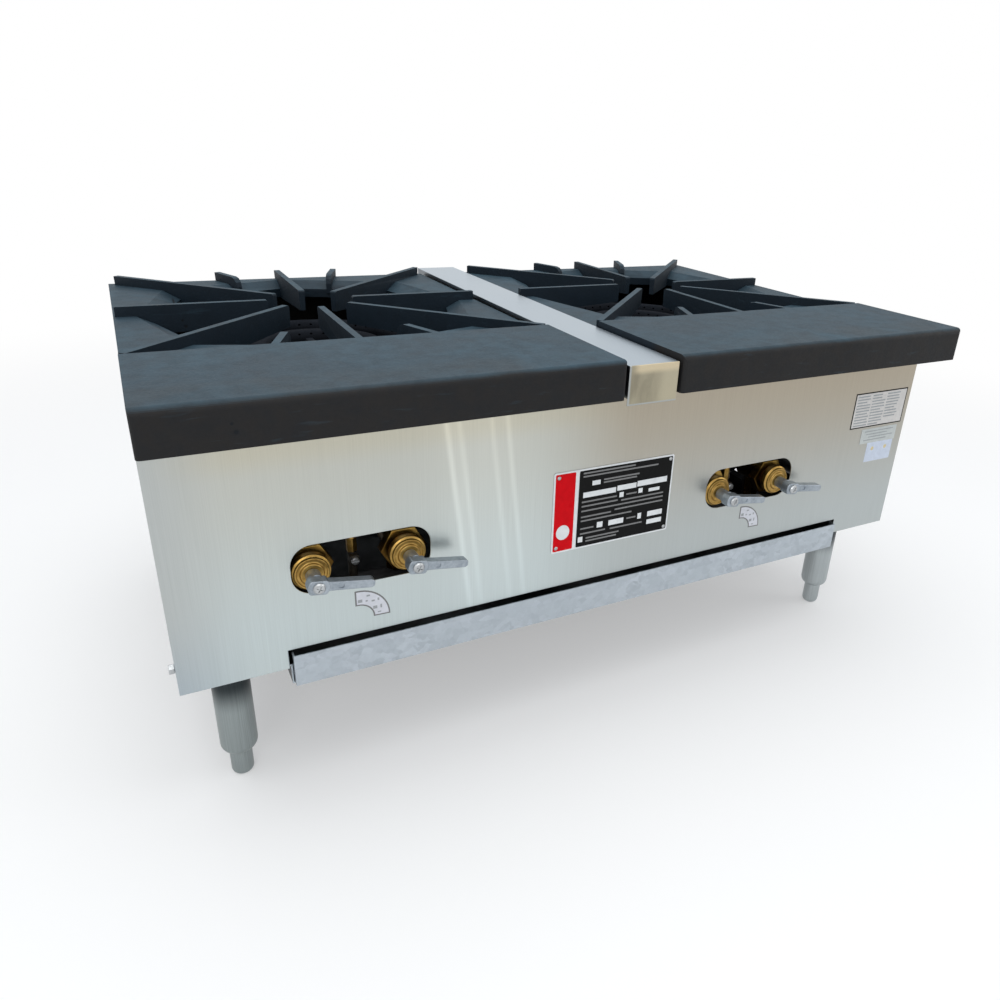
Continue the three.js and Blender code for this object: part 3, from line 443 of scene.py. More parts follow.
def valve_brass_shade(s):
    """Painted shade on the valves' brass: a painted shadow round the collar, and behind it painted
    shade on all but the top.
    """
    depth = s.along("Y")
    # painted shadow of the bonnet's flange round the collar
    collar = s.mix(s.share(depth, PANEL_Y + 4, PANEL_Y + 10), (1.0, 1.0, 1.0), (0.25, 0.2, 0.14))
    # painted shade on the hexagon's lower faces; only the top stays bright
    behind = s.mix(s.share(s.along("Z"), VALVE_Z + 10, VALVE_Z + 17), (0.22, 0.19, 0.15),
                   (0.98, 0.98, 0.86))
    return s.mix(s.share(depth, PANEL_Y + 13.2, PANEL_Y + 13.8), collar, behind)


def mottled(name, dark, pale, metallic, rough, scale=240, bump=0.00015, wash=None):
    """Brass, zinc or cast alloy: small stains and dull patches over a fine grain."""
    s = Surface(name, metallic, rough)
    grain = s.noise(scale, 4, 0.6)
    stains = s.noise(scale * 0.16, 4, 0.6, 0.5)
    base = s.ramp(s.mix(0.45, stains, grain), (0.3, dark), (0.68, pale))
    if wash:
        base = s.mix(1.0, base, wash(s), "MULTIPLY")
    s.give("Base Color", base)
    s.give("Roughness", s.ramp(stains, (0.3, rough + 0.12), (0.7, rough - 0.04)))
    s.bump(grain, bump, 0.5)
    return s.material


def printed(name, colour, rough, gloss=0.25):
    """A printed or painted plate: an even ink with a faint mottle and handling marks."""
    s = Surface(name, 0.0, rough)
    s.give("Specular IOR Level", gloss)
    mottle = s.noise(150, 4, 0.6)
    marks = s.noise((30, 30, 12), 3, 0.6, 0.8)
    base = s.ramp(mottle, (0.3, times(colour, 0.88)), (0.7, colour))
    s.give("Base Color", base)
    s.give("Roughness", s.ramp(marks, (0.35, rough - 0.08), (0.7, rough + 0.14)))
    s.bump(mottle, 0.00004, 0.4)
    return s.material


def make_materials():
    upright = (1500, 1500, 9)
    steel = ((0.475, 0.48, 0.475), (0.535, 0.54, 0.535), 0.33)
    brass = ((0.22, 0.125, 0.028), (0.52, 0.34, 0.105), 1.0, 0.3)
    return {
        "stainless": brushed("stainless_sheet", upright, *steel, body_wash),
        "front_sheet": brushed("front_sheet", upright, *steel, front_wash),
        "polished_strip": brushed("strip_sheet", (1500, 9, 1500), (0.47, 0.475, 0.48),
                                  (0.54, 0.545, 0.55), 0.32, strip_wash),
        "black_cast_iron": cast_iron("painted_casting", (0.0055, 0.0125, 0.0205),
                                     (0.033, 0.064, 0.087), 0.6, pits=True),
        "grey_cast_iron": cast_iron("burner_casting", (0.006, 0.0075, 0.0105),
                                    (0.013, 0.016, 0.022), 0.85, 520, 0.08),
        "brass": mottled("brass", *brass),
        "valve_brass": mottled("valve_brass", *brass, wash=valve_brass_shade),
        "dark_brass": mottled("smoked_brass", (0.02, 0.018, 0.015), (0.07, 0.06, 0.045),
                              0.6, 0.5),
        "lever_alloy": mottled("lever_casting", (0.22, 0.255, 0.29), (0.4, 0.445, 0.49),
                               0.85, 0.38, 320, 0.0003),
        "zinc_plate": mottled("zinc", (0.3, 0.31, 0.32), (0.52, 0.54, 0.55), 1.0, 0.34),
        "galvanised": galvanised("galvanised_sheet"),
        "black_pipe": mottled("pipe_black", (0.012, 0.012, 0.013), (0.035, 0.035, 0.037),
                              0.2, 0.5),
        "aluminium_tube": mottled("tube_aluminium", (0.3, 0.31, 0.32), (0.5, 0.51, 0.52),
                                  1.0, 0.35),
        "leg_steel": brushed("leg_tube", (900, 900, 14), (0.27, 0.29, 0.295),
                             (0.37, 0.395, 0.4), 0.36, leg_wash),
        "ink_black": printed("plate_black", (0.009, 0.009, 0.009), 0.3, 0.05),
        "ink_red": printed("plate_red", (0.62, 0.003, 0.008), 0.3, 0.05),
        "ink_white": printed("plate_white", (0.74, 0.76, 0.77), 0.35),
        "ink_grey": printed("plate_grey", (0.2, 0.2, 0.2), 0.4),
        "ink_pale": printed("label_grey_ink", (0.34, 0.36, 0.37), 0.45),
        "label_white": printed("sticker_paper", (0.65, 0.66, 0.71), 0.45),
        "label_cream": printed("label_paper", (0.64, 0.62, 0.6), 0.45),
        "label_grey": printed("label_film", (0.53, 0.56, 0.55), 0.4),
        "label_lilac": printed("label_film_lower", (0.59, 0.65, 0.76), 0.35),
        "ink_straw": printed("label_straw_ink", (0.66, 0.56, 0.32), 0.4),
    }


LOOKS = make_materials()

# ---- mesh tools

# Degrees from which an edge is shaded sharp, bevelled here, or bevelled on a CAD mesh.
SMOOTH_ANGLE = 35
BEVEL_ANGLE = 32
SHEET_ANGLE = 40


def piece(name, parts, look, replaced=None, body="frame"):
    """Bmeshes in millimetres as one object in metres that rides on a body."""
    shape = bpy.data.meshes.new(name)
    whole = bmesh.new()
    for part in parts:
        part.to_mesh(shape)
        part.free()
        whole.from_mesh(shape)
    bmesh.ops.recalc_face_normals(whole, faces=whole.faces)
    bmesh.ops.scale(whole, vec=(MM, MM, MM), verts=whole.verts)
    whole.to_mesh(shape)
    whole.free()
    shape.shade_smooth()
    shape.set_sharp_from_angle(angle=radians(SMOOTH_ANGLE))
    shape.materials.append(LOOKS[look])
    made = placed(name, shape)
    made.modifiers.new("even", "WEIGHTED_NORMAL").keep_sharp = True
    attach(made, body)
    if replaced:
        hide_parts(replaced)
    return made


def softened(profile, radius, steps=3):
    """A profile with its corners rounded, as far as their neighbours leave room."""
    points = [Vector(p) for p in profile]
    rounded = [points[0]]
    for before, here, after in zip(points, points[1:], points[2:]):
        back = before - here
        on = after - here
        if back.length < 1e-6 or on.length < 1e-6:
            continue
        reach = min(radius, back.length * 0.45, on.length * 0.45)
        start = here + back.normalized() * reach
        end = here + on.normalized() * reach
        for i in range(steps + 1):
            t = i / steps
            rounded.append(start.lerp(here, t).lerp(here.lerp(end, t), t))
    rounded.append(points[-1])
    return rounded


AXES = {
    "x": Matrix(((0, 0, 1), (1, 0, 0), (0, 1, 0))),
    "y": Matrix(((1, 0, 0), (0, 0, 1), (0, 1, 0))),
    "z": Matrix.Identity(3),
}


def lathe(profile, place, axis="z", segments=64, closed=False):
    """A turned solid: (radius, height) points round an axis through a place."""
    bm = bmesh.new()
    rings = []
    for r, h in profile:
        spots = regular(r, segments) if r > 1e-6 else [(0, 0)]
        rings.append([bm.verts.new((x, y, h)) for x, y in spots])
    pairs = list(zip(rings, rings[1:]))
    if closed:
        pairs.append((rings[-1], rings[0]))
    for low, high in pairs:
        for i in range(segments):
            j = (i + 1) % segments
            corners = [low[i % len(low)], low[j % len(low)],
                       high[j % len(high)], high[i % len(high)]]
            unique = list(dict.fromkeys(corners))
            if len(unique) > 2:
                bm.faces.new(unique)
    bmesh.ops.transform(bm, matrix=AXES[axis].to_4x4(), verts=bm.verts)
    bmesh.ops.translate(bm, vec=place, verts=bm.verts)
    return bm


def prism(outline, low, high, axis, bevel=0.0, segments=2):
    """A flat outline of two coordinates drawn out along the third, with softened edges."""
    bm = bmesh.new()
    near, far = ([bm.verts.new(AXES[axis] @ Vector((a, b, c))) for a, b in outline]
                 for c in (low, high))
    bm.faces.new(near)
    bm.faces.new(far)
    for i in range(len(outline)):
        j = (i + 1) % len(outline)
        bm.faces.new((near[i], near[j], far[j], far[i]))
    bmesh.ops.recalc_face_normals(bm, faces=bm.faces)
    if bevel:
        sharp = [e for e in bm.edges if e.calc_face_angle(0) > radians(BEVEL_ANGLE)]
        bmesh.ops.bevel(bm, geom=sharp, offset=bevel, segments=segments, profile=0.5,
                        affect="EDGES", clamp_overlap=True)
    return bm


def regular(radius, sides, turn=0.0, middle=(0, 0)):
    """The corners of a regular polygon."""
    turns = [turn + 2 * pi * i / sides for i in range(sides)]
    return [(middle[0] + radius * cos(a), middle[1] + radius * sin(a)) for a in turns]


def arc(a, b, radius_a, radius_b, start, sweep, steps):
    """Points along an arc about (a, b) that starts at an angle and sweeps another."""
    turns = [radians(start + sweep * i / steps) for i in range(steps + 1)]
    return [(a + radius_a * cos(turn), b + radius_b * sin(turn)) for turn in turns]


def box_outline(a0, a1, b0, b1, radius=0.0, steps=6):
    """A rectangle, with round corners where it has a radius."""
    if not radius:
        return [(a0, b0), (a1, b0), (a1, b1), (a0, b1)]
    near_a, far_a, near_b, far_b = a0 + radius, a1 - radius, b0 + radius, b1 - radius
    points = []
    for a, b, start in ((far_a, far_b, 0), (near_a, far_b, 90), (near_a, near_b, 180),
                        (far_a, near_b, 270)):
        points += arc(a, b, radius, radius, start, 90, steps)
    return points


def as_made(holder):
    """The mesh that an object shows, as a bmesh."""
    bpy.context.view_layer.update()
    shape = bpy.data.meshes.new_from_object(
        holder.evaluated_get(bpy.context.evaluated_depsgraph_get()))
    bm = bmesh.new()
    bm.from_mesh(shape)
    bpy.data.meshes.remove(shape)
    return bm


def tube(points, radius, segments):
    """A round tube along a smooth route of points, as a mesh with capped ends."""
    curve = bpy.data.curves.new("route", "CURVE")
    curve.dimensions = "3D"
    curve.bevel_depth = radius
    curve.bevel_resolution = segments // 4
    curve.use_fill_caps = True
    spline = curve.splines.new("NURBS")
    spline.points.add(len(points) - 1)
    for target, p in zip(spline.points, points):
        target.co = (*p, 1)
    spline.use_endpoint_u = True
    spline.order_u = 3
    spline.resolution_u = 6
    holder = placed("route", curve)
    bm = as_made(holder)
    bpy.data.objects.remove(holder)
    bpy.data.curves.remove(curve)
    return bm


def carved(bm, *tools):
    """A bmesh with others cut out of it."""
    objects = []
    for part in (bm, *tools):
        shape = bpy.data.meshes.new("carving")
        part.to_mesh(shape)
        part.free()
        objects.append(placed("carving", shape))
    for tool in objects[1:]:
        cut = objects[0].modifiers.new("cut", "BOOLEAN")
        cut.operation = "DIFFERENCE"
        cut.solver = "EXACT"
        cut.object = tool
    whole = as_made(objects[0])
    for holder in objects:
        shape = holder.data
        bpy.data.objects.remove(holder)
        bpy.data.meshes.remove(shape)
    return whole


def tilted(bm, degrees, place):
    """A bmesh turned about a line along Y through a place."""
    turn = Matrix.Rotation(radians(degrees), 4, "Y")
    shift = Matrix.Translation(place)
    bmesh.ops.transform(bm, matrix=shift @ turn @ shift.inverted(), verts=bm.verts)
    return bm


def rounded_drop(r0, h0, r1, h1):
    """A quarter round from the side of a turned piece at (r0, h0) to its end at (r1, h1)."""
    return arc(r1, h0, r0 - r1, h1 - h0, 0, 90, 6)


# ---- legs and feet

LEG_RADIUS = 18.5
LEG_WALL = 2
LEG_SHOULDER = 9
LEG_PLUG = 12
FOOT_RADIUS = 11.2
FOOT_ROUND = 7
FOOT_FLAT = 4.5
STEM_RADIUS = 6
STEM_PLAY = 0.4


def make_legs():
    """Tubes with a round shoulder and a bored plug, and the feet whose stems go in."""
    bore, hole = LEG_RADIUS - LEG_WALL, STEM_RADIUS + STEM_PLAY
    for corner in CORNERS:
        middle = centre(f"leg_{corner}")
        place = (middle.x, middle.y, 0)
        low, high = low_of(f"leg_{corner}").z, high_of(f"leg_{corner}").z
        profile = [(bore, high), (LEG_RADIUS - 0.3, high), (LEG_RADIUS, high - 0.5),
                   (LEG_RADIUS, low + LEG_SHOULDER + 40),
                   *rounded_drop(LEG_RADIUS, low + LEG_SHOULDER, FOOT_RADIUS + 0.6, low),
                   (hole, low), (hole, low + LEG_PLUG), (bore, low + LEG_PLUG)]
        piece(f"leg_tube_{corner}", [lathe(profile, place, closed=True)], "leg_steel",
              f"leg_{corner}")
        top, stem = low - 0.3, high_of(f"foot_{corner}").z
        profile = [(0, 0), *reversed(rounded_drop(FOOT_RADIUS, FOOT_ROUND, FOOT_FLAT, 0)),
                   (FOOT_RADIUS, top - 1), (FOOT_RADIUS - 1, top), (STEM_RADIUS, top),
                   (STEM_RADIUS, stem - 1), (STEM_RADIUS - 1, stem), (0, stem)]
        piece(f"bullet_foot_{corner}", [lathe(profile, place)], "leg_steel", f"foot_{corner}",
              f"foot_{corner}_body")


# ---- valves and levers

BONNET_FRONT = 3
BONNET_RADIUS = 18.5
BARREL_RADIUS = 14.5
BARREL_END = 60
HOOD_RADIUS = 7.5
HOOD_END = 83
HEXAGON_RADIUS = 24
HEXAGON = (17, 29)
STEM_LENGTH = 13
PIPE_Y = 45
INLET_RADIUS = 10
LEVER_DROOP = 9
LEVER_LENGTH = 52
LEVER_STANDOFF = 14.5
LEVER_DEPTH = 10
LEVER_HEIGHT = 9
HUB_RADIUS = 10
HUB_HALF = 7
HUB_LIFT = 2
NECK_RADIUS = 7
SEAT_DEPTH = 0.8
SCREW_RADIUS = 5.5
SCREW_HEIGHT = 2.4
SCREW_SHANK = 2.2
SCREW_TURN = 20
SLOT_DEPTH = 1.3


def make_valve(name):
    """A turned brass body with a stepped bonnet, a hexagon behind it and its inlet."""
    axis = VALVE_AXIS[name]
    place = (axis.x, PANEL_Y, axis.z)
    f = -BONNET_FRONT
    r = BONNET_RADIUS
    turned = softened([
        (0, f - STEM_LENGTH), (4, f - STEM_LENGTH), (4, f), (r - 8, f), (r - 7, f + 2.5),
        (r - 4.5, f + 2.5), (r - 4.2, f + 1.6), (r - 2.6, f + 1.6), (r - 2.2, f + 4),
        (r, f + 5), (r, f + 12), (r - 3, f + 15), (BARREL_RADIUS, f + 15),
        (BARREL_RADIUS, BARREL_END), (HOOD_RADIUS, BARREL_END + 3), (HOOD_RADIUS, HOOD_END - 6),
        (HOOD_RADIUS - 3, HOOD_END), (0, HOOD_END),
    ], 0.9, 3)
    body = lathe(turned, place, "y", 72)
    hexagon = prism(regular(HEXAGON_RADIUS, 6, 0, (axis.x, axis.z)),
                    PANEL_Y + f + HEXAGON[0], PANEL_Y + f + HEXAGON[1], "y", 1.0)
    low = low_of(f"valve_{name}").z
    inlet = prism(regular(INLET_RADIUS, 6, 0, (axis.x, PANEL_Y + PIPE_Y)),
                  low, axis.z - BARREL_RADIUS + 3, "z", 0.7)
    valve = piece(f"lever_valve_{name}", [body, hexagon, inlet], "valve_brass", f"valve_{name}")


def make_lever(name):
    """A cast lever: neck, round-ended hub and a flat arm with a shallow seat near the hub."""
    x, z = VALVE_AXIS[name].x, VALVE_AXIS[name].z
    place = Vector((x, 0, z))
    bonnet = PANEL_Y - BONNET_FRONT - 0.3
    back = PANEL_Y - BONNET_FRONT - LEVER_STANDOFF
    front = back - LEVER_DEPTH
    h, r = LEVER_HEIGHT, HUB_RADIUS
    side = [(0, h * 0.6), (r + 6, h * 0.5), (LEVER_LENGTH - 2.5, h * 0.46),
            (LEVER_LENGTH, h * 0.26)]
    side += [(a, -b) for a, b in reversed(side)]
    arm = prism([(x + a, z + b) for a, b in side], front, back - 0.5, "y", 0.9, 3)
    seat = prism(box_outline(x + r + 8, x + r + 13, z - 2.2, z + 2.2, 1, 3), front - 2,
                 front + SEAT_DEPTH, "y")
    rim = [(x + a, z + max(-HUB_HALF, min(HUB_HALF, b)))
           for a, b in regular(r, 48)]
    hub = prism(rim, front - HUB_LIFT, back, "y", 1.4, 3)
    neck = lathe(softened([(0, back - 1), (NECK_RADIUS + 0.8, back - 1),
                           (NECK_RADIUS, back + 3), (NECK_RADIUS, bonnet), (0, bonnet)], 1.0),
                 place, "y", 48)
    parts = [tilted(part, LEVER_DROOP, place) for part in (carved(arm, seat), hub, neck)]
    piece(f"lever_arm_{name}", parts, "lever_alloy", f"lever_{name}", f"lever_{name}_body")
    face = front - HUB_LIFT - GAP
    top = face - SCREW_HEIGHT
    head = lathe([(0, top), (SCREW_RADIUS * 0.45, top),
                  (SCREW_RADIUS * 0.8, face - SCREW_HEIGHT * 0.85),
                  (SCREW_RADIUS, face - SCREW_HEIGHT * 0.35), (SCREW_RADIUS, face),
                  (SCREW_SHANK, face), (SCREW_SHANK, face + 4), (0, face + 4)], place, "y", 48)
    slots = [prism(box_outline(x - a, x + a, z - b, z + b), top - 1, top + SLOT_DEPTH, "y")
             for a, b in ((3, 0.6), (0.6, 3))]
    screw = tilted(carved(head, *slots), LEVER_DROOP + SCREW_TURN, place)
    piece(f"hub_screw_{name}", [screw], "zinc_plate", f"lever_screw_{name}",
          f"lever_{name}_body")


# ---- strip

SHEET = 1.5
STRIP_BEND = 1.4


def make_strip():
    """The channel between the grates, with rounded bends and a folded front end."""
    low, high = low_of("centre_strip"), high_of("centre_strip")
    wall_foot = SEAT + GAP
    side = [(low.y, low.z), (low.y + SHEET, low.z), (low.y + SHEET, wall_foot),
            (high.y, wall_foot), (high.y, high.z), (low.y, high.z)]
    outside = prism(side, low.x, high.x, "x", STRIP_BEND, 4)
    inside = prism([(low.y + SHEET, low.z - 5), (high.y - SHEET, low.z - 5),
                    (high.y - SHEET, high.z - SHEET), (low.y + SHEET, high.z - SHEET)],
                   low.x + SHEET, high.x - SHEET, "x")
    piece("strip_channel", [carved(outside, inside)], "polished_strip", "centre_strip")


# ---- burners and shutters

RING_WIDTH = 28
RING_HEIGHT = 28
RING_DROP = 15
RING_FACE = 7
RINGS = {"outer": 126, "inner": 71}
VALVE_PITCH = 93
PORT_RADIUS = 1.6
PORT_PITCH = 15
TUBE_RADIUS = 16
THROAT_RADIUS = 12.5
BELL_RADIUS = 22
BELL_LENGTH = 12
BELL_HOLLOW = 34
THROAT_AT = 45
TUBE_AT = 90
MOUTH_Y = 90
BEND = 35.2
LUG = 9
RING_HUB = 20
SPOKE = 5
RING_TOP = SEAT - RING_DROP
RING_LOW = RING_TOP - RING_HEIGHT
FIELD_Y = high_of("outer_burner_left").y - RINGS["outer"] - RING_WIDTH / 2


def block(x0, x1, y0, y1, z0, z1, bevel=1.5):
    """An upright block between two corners."""
    return prism(box_outline(x0, x1, y0, y1), z0, z1, "z", bevel)


def burner_ring(radius, x):
    """A cast ring with two rows of drilled ports on its sloped shoulders."""
    a, b = radius - RING_WIDTH / 2, radius + RING_WIDTH / 2
    shoulder = RING_TOP - RING_FACE
    profile = softened([(radius, RING_LOW), (b, RING_LOW), (b, shoulder),
                        (b - RING_FACE, RING_TOP), (a + RING_FACE, RING_TOP), (a, shoulder),
                        (a, RING_LOW), (radius, RING_LOW)], 3, 2)
    ring = lathe(profile[:-1], (x, FIELD_Y, 0), "z", 96, closed=True)
    drills = bmesh.new()
    for edge, lean in ((b - RING_FACE / 2, 1), (a + RING_FACE / 2, -1)):
        count = int(2 * pi * edge / PORT_PITCH)
        for i in range(count):
            angle = 2 * pi * i / count
            port = (x + edge * cos(angle), FIELD_Y + edge * sin(angle), RING_TOP - RING_FACE / 2)
            drill = (Matrix.Translation(port) @ Matrix.Rotation(angle, 4, "Z")
                     @ Matrix.Rotation(lean * pi / 4, 4, "Y"))
            bmesh.ops.create_cone(drills, cap_ends=True, segments=10, radius1=PORT_RADIUS,
                                  radius2=PORT_RADIUS, depth=7, matrix=drill)
    return carved(ring, drills)


def mixing_tube(x, riser_y, z):
    """A bell mouth, a throat and a bend up into the ring."""
    mouth = PANEL_Y + MOUTH_Y
    bell = softened([
        (0, mouth + BELL_HOLLOW), (THROAT_RADIUS - 4, mouth + BELL_HOLLOW),
        (BELL_RADIUS - 5, mouth), (BELL_RADIUS, mouth), (BELL_RADIUS, mouth + BELL_LENGTH),
        (THROAT_RADIUS, mouth + THROAT_AT), (TUBE_RADIUS, mouth + TUBE_AT),
        (TUBE_RADIUS, mouth + TUBE_AT + 4), (0, mouth + TUBE_AT + 4)], 4, 3)
    body = tube([(x, mouth + TUBE_AT - 4, z), (x, riser_y - BEND, z), (x, riser_y, z),
                 (x, riser_y, z + BEND), (x, riser_y, RING_LOW + 4)], TUBE_RADIUS, 28)
    return [lathe(bell, (x, 0, z), "y", 56), body]


def make_burners():
    for side in SIDES:
        x, z = BURNER_X[side], VALVE_AXIS[f"inner_{side}"].z
        root, crown = RING_LOW + 4, RING_TOP - 8
        outer, inner = RINGS["outer"], RINGS["inner"]
        riser_y = FIELD_Y - sqrt(outer ** 2 - VALVE_PITCH ** 2)
        bar_y = centre(f"rear_bar_{side}").y
        lug_low = high_of(f"rear_bar_{side}").z + GAP
        parts = [burner_ring(outer, x), *mixing_tube(x - VALVE_PITCH, riser_y, z)]
        for way in (-1, 1):
            lug_x = x + way * outer * 0.4
            parts.append(block(lug_x - LUG, lug_x + LUG, bar_y - LUG, bar_y + LUG, lug_low, root))
        piece(f"ring_outer_{side}", parts, "grey_cast_iron", f"outer_burner_{side}")
        hub = softened([(0, root), (RING_HUB, root), (RING_HUB, crown),
                        (RING_HUB - 5, crown + 4), (0, crown + 4)], 2)
        arm = inner - RING_WIDTH / 2 + 3
        tail = inner + RING_WIDTH / 2 - 8
        parts = [burner_ring(inner, x), *mixing_tube(x, FIELD_Y - inner, z),
                 lathe(hub, (x, FIELD_Y, 0), "z", 56),
                 block(x - arm, x + arm, FIELD_Y - SPOKE, FIELD_Y + SPOKE, root, crown),
                 block(x - SPOKE, x + SPOKE, FIELD_Y - arm, FIELD_Y + arm, root, crown),
                 block(x - LUG, x + LUG, FIELD_Y + tail, bar_y + 12, lug_low, RING_LOW - 3),
                 block(x - LUG, x + LUG, FIELD_Y + inner - 8, FIELD_Y + tail + 8, lug_low, root)]
        piece(f"ring_inner_{side}", parts, "grey_cast_iron", f"inner_burner_{side}")


SHUTTER_SHEET = 1.6
COLLAR = 12
SHUTTER_GAP = 0.35
EYE = 8.7
HOLE_RADIUS = 4
HOLE_REACH = 15.9


def make_shutter(name):
    """A turning cap on the bell's mouth, with an eye for the hood and three air holes."""
    axis = VALVE_AXIS[name]
    face = PANEL_Y + MOUTH_Y - SHUTTER_GAP
    inside = BELL_RADIUS + SHUTTER_GAP
    outside = inside + SHUTTER_SHEET
    front = face - SHUTTER_SHEET
    cap = lathe([(EYE, face), (inside, face), (inside, face + COLLAR), (outside, face + COLLAR),
                 (outside, front + 0.8), (outside - 0.8, front), (EYE, front)],
                (axis.x, 0, axis.z), "y", 56, closed=True)
    holes = [prism(regular(HOLE_RADIUS, 24, 0, middle), face - 4, face + 2, "y")
             for middle in regular(HOLE_REACH, 3, pi / 6, (axis.x, axis.z))]
    piece(f"shutter_cap_{name}", [carved(cap, *holes)], "galvanised", f"air_shutter_{name}",
          f"shutter_{name}_body")


# ---- pilots and pipes

PILOT_RISE = 35.55
PILOT_BODY = 28
PILOT_BOSS = 4.5
PILOT_CROWN = 3
PILOT_NUT_RADIUS = 5.5
PILOT_SCREW_RADIUS = 4
PILOT_TUBE_RADIUS = 3
PIPE_RADIUS = 13.35
PIPE_BORE = 10.45
ELBOW_RADIUS = 18.5
BRACKET_HALF = 15


def make_pilot(side):
    """A small valve on the gas pipe: dark brass body, bright nut and slotted screw."""
    axis = axis_of(f"pilot_screw_{side}_turn")
    x, y = axis.x, PANEL_Y + PIPE_Y
    low, high = low_of(f"pilot_valve_{side}").z, high_of(f"pilot_valve_{side}").z
    shoulder = low + PILOT_BODY
    r = PILOT_NUT_RADIUS
    body = lathe(softened([(0, low), (r - 1, low), (r - 1, shoulder + 1), (0, shoulder + 1)],
                          0.6), (x, y, 0), "z", 32)
    boss = prism(box_outline(x - PILOT_BOSS, x + PILOT_BOSS, axis.z - PILOT_BOSS,
                             axis.z + PILOT_BOSS, 1.2), y - 10, y, "y", 0.5)
    seat = lathe([(0, y - 11), (2.6, y - 11), (2.6, y - 3), (0, y - 3)], (x, 0, axis.z), "y", 24)
    piece(f"pilot_body_{side}", [body, carved(boss, seat)], "dark_brass", f"pilot_valve_{side}")
    edge, hole = high - PILOT_CROWN, PILOT_TUBE_RADIUS + 0.4
    nut = prism(regular(r, 6, pi / 6, (x, y)), shoulder, edge, "z", 0.5)
    crown = softened([(hole, edge), (r - 0.4, edge), (r - 1.2, high), (hole, high),
                      (hole, edge)], 0.5)
    crown = lathe(crown[:-1], (x, y, 0), "z", 32, closed=True)
    piece(f"pilot_nut_{side}", [nut, crown], "brass")
    face = y - 14.5
    r = PILOT_SCREW_RADIUS
    head = lathe([(0, face), (r - 0.8, face), (r, face + 0.8), (r, face + 4.2),
                  (SCREW_SHANK, face + 4.2), (SCREW_SHANK, y - 3.5), (0, y - 3.5)],
                 (x, 0, axis.z), "y", 40)
    slot = prism(box_outline(x - 5, x + 5, axis.z - 0.6, axis.z + 0.6), face - 1, face + 1.1, "y")
    piece(f"pilot_adjuster_{side}", [carved(head, slot)], "zinc_plate", f"pilot_screw_{side}",
          f"pilot_screw_{side}_body")


def make_pipes():
    """The gas pipe on its two brackets, and the elbow and run that supply it."""
    low, high = low_of("gas_manifold"), high_of("gas_manifold")
    y, z = PANEL_Y + PIPE_Y, axis_of("pilot_screw_left_turn").z - PILOT_RISE
    r = PIPE_RADIUS
    parts = [lathe(softened([(0, low.x + 4), (r, low.x + 4), (r, high.x), (0, high.x)], 0.8),
                   (0, y, z), "x", 48),
             prism(regular(r + 3, 6, pi / 2, (y, z)), low.x, low.x + 20, "x", 1)]
    skin = PANEL_Y + SHEET + GAP
    for side in SIDES:
        middle = BURNER_X[side] + VALVE_PITCH / 2
        x0, x1 = middle - BRACKET_HALF, middle + BRACKET_HALF
        parts.append(block(x0, x1, skin, y - 8, z - 2, z + 2, 0.4))
        parts.append(prism(box_outline(x0, x1, z - 14, z + 2), skin, skin + 3, "y", 0.4))
    piece("gas_pipe", parts, "black_pipe", "gas_manifold")
    high = high_of("supply_pipe")
    x, end = high.x - ELBOW_RADIUS + 0.5, high.y
    bend = tube([(x - ELBOW_RADIUS + 1, y, z), (x, y, z), (x, y + ELBOW_RADIUS + 4, z)],
                ELBOW_RADIUS - 0.5, 32)
    run = softened([(0, y + 8), (r, y + 8), (r, end), (PIPE_BORE, end), (PIPE_BORE, end - 45),
                    (0, end - 45)], 0.8)
    piece("supply_run", [bend, lathe(run, (x, 0, z), "y", 48)], "black_pipe", "supply_pipe")


# ---- plate, labels, stickers

PLATE = (-80.5, 73.6, 215.8, 311)
PLATE_THICKNESS = 0.8
PLATE_BORDER = 2
BAND_SHARE = 0.185
BAND_GAP = 2.3
INK = 0.12
BORDER = 0.15  # depth of the printed edge under a sticker or label
PAPER = 0.1
FILM = 0.12
PRINT = 0.05
OVAL = (0.087, 0.746)
OVAL_RADII = (8.2, 8.8)
RIVET_LEFT = 6
RIVET_RIGHT = 5
RIVET = ((0, -1.1), (1.3, -0.9), (2.1, -0.35), (2.3, 0), (2.3, 0.3), (0, 0.3))


def flat(name, look, lift, depth, *outlines, bevel=0.0):
    """A thin flat thing on the front panel: outlines in x and z, from the panel out."""
    parts = [prism(o, PANEL_Y - lift - depth, PANEL_Y - lift, "y", bevel) for o in outlines]
    piece(name, parts, look)


# Blank fields of the data plate: left, right, top and bottom as shares of the plate.
FIELDS = (
    (0.237, 0.508, 0.292, 0.358), (0.519, 0.682, 0.28, 0.345), (0.69, 0.952, 0.267, 0.338),
    (0.306, 0.373, 0.163, 0.219), (0.542, 0.577, 0.372, 0.435), (0.705, 0.741, 0.366, 0.425),
    (0.795, 0.892, 0.388, 0.431), (0.717, 0.749, 0.694, 0.768), (0.804, 0.937, 0.694, 0.762),
    (0.804, 0.937, 0.805, 0.866), (0.465, 0.593, 0.708, 0.776), (0.367, 0.415, 0.703, 0.774),
    (0.215, 0.253, 0.852, 0.921),
)
# Ruled grey lines between the fields: left, right and how far down, as shares too.
RULES = (
    (0.23, 0.66, 0.055), (0.23, 0.86, 0.095), (0.40, 0.70, 0.17), (0.40, 0.68, 0.205),
    (0.23, 0.52, 0.41), (0.60, 0.69, 0.41), (0.23, 0.53, 0.465), (0.56, 0.93, 0.475),
    (0.23, 0.93, 0.525), (0.23, 0.48, 0.6), (0.51, 0.93, 0.58), (0.23, 0.66, 0.65),
    (0.62, 0.70, 0.73), (0.23, 0.34, 0.75), (0.23, 0.44, 0.815), (0.48, 0.76, 0.82),
    (0.28, 0.56, 0.88), (0.28, 0.54, 0.92),
)
RULE_HALF = 0.9


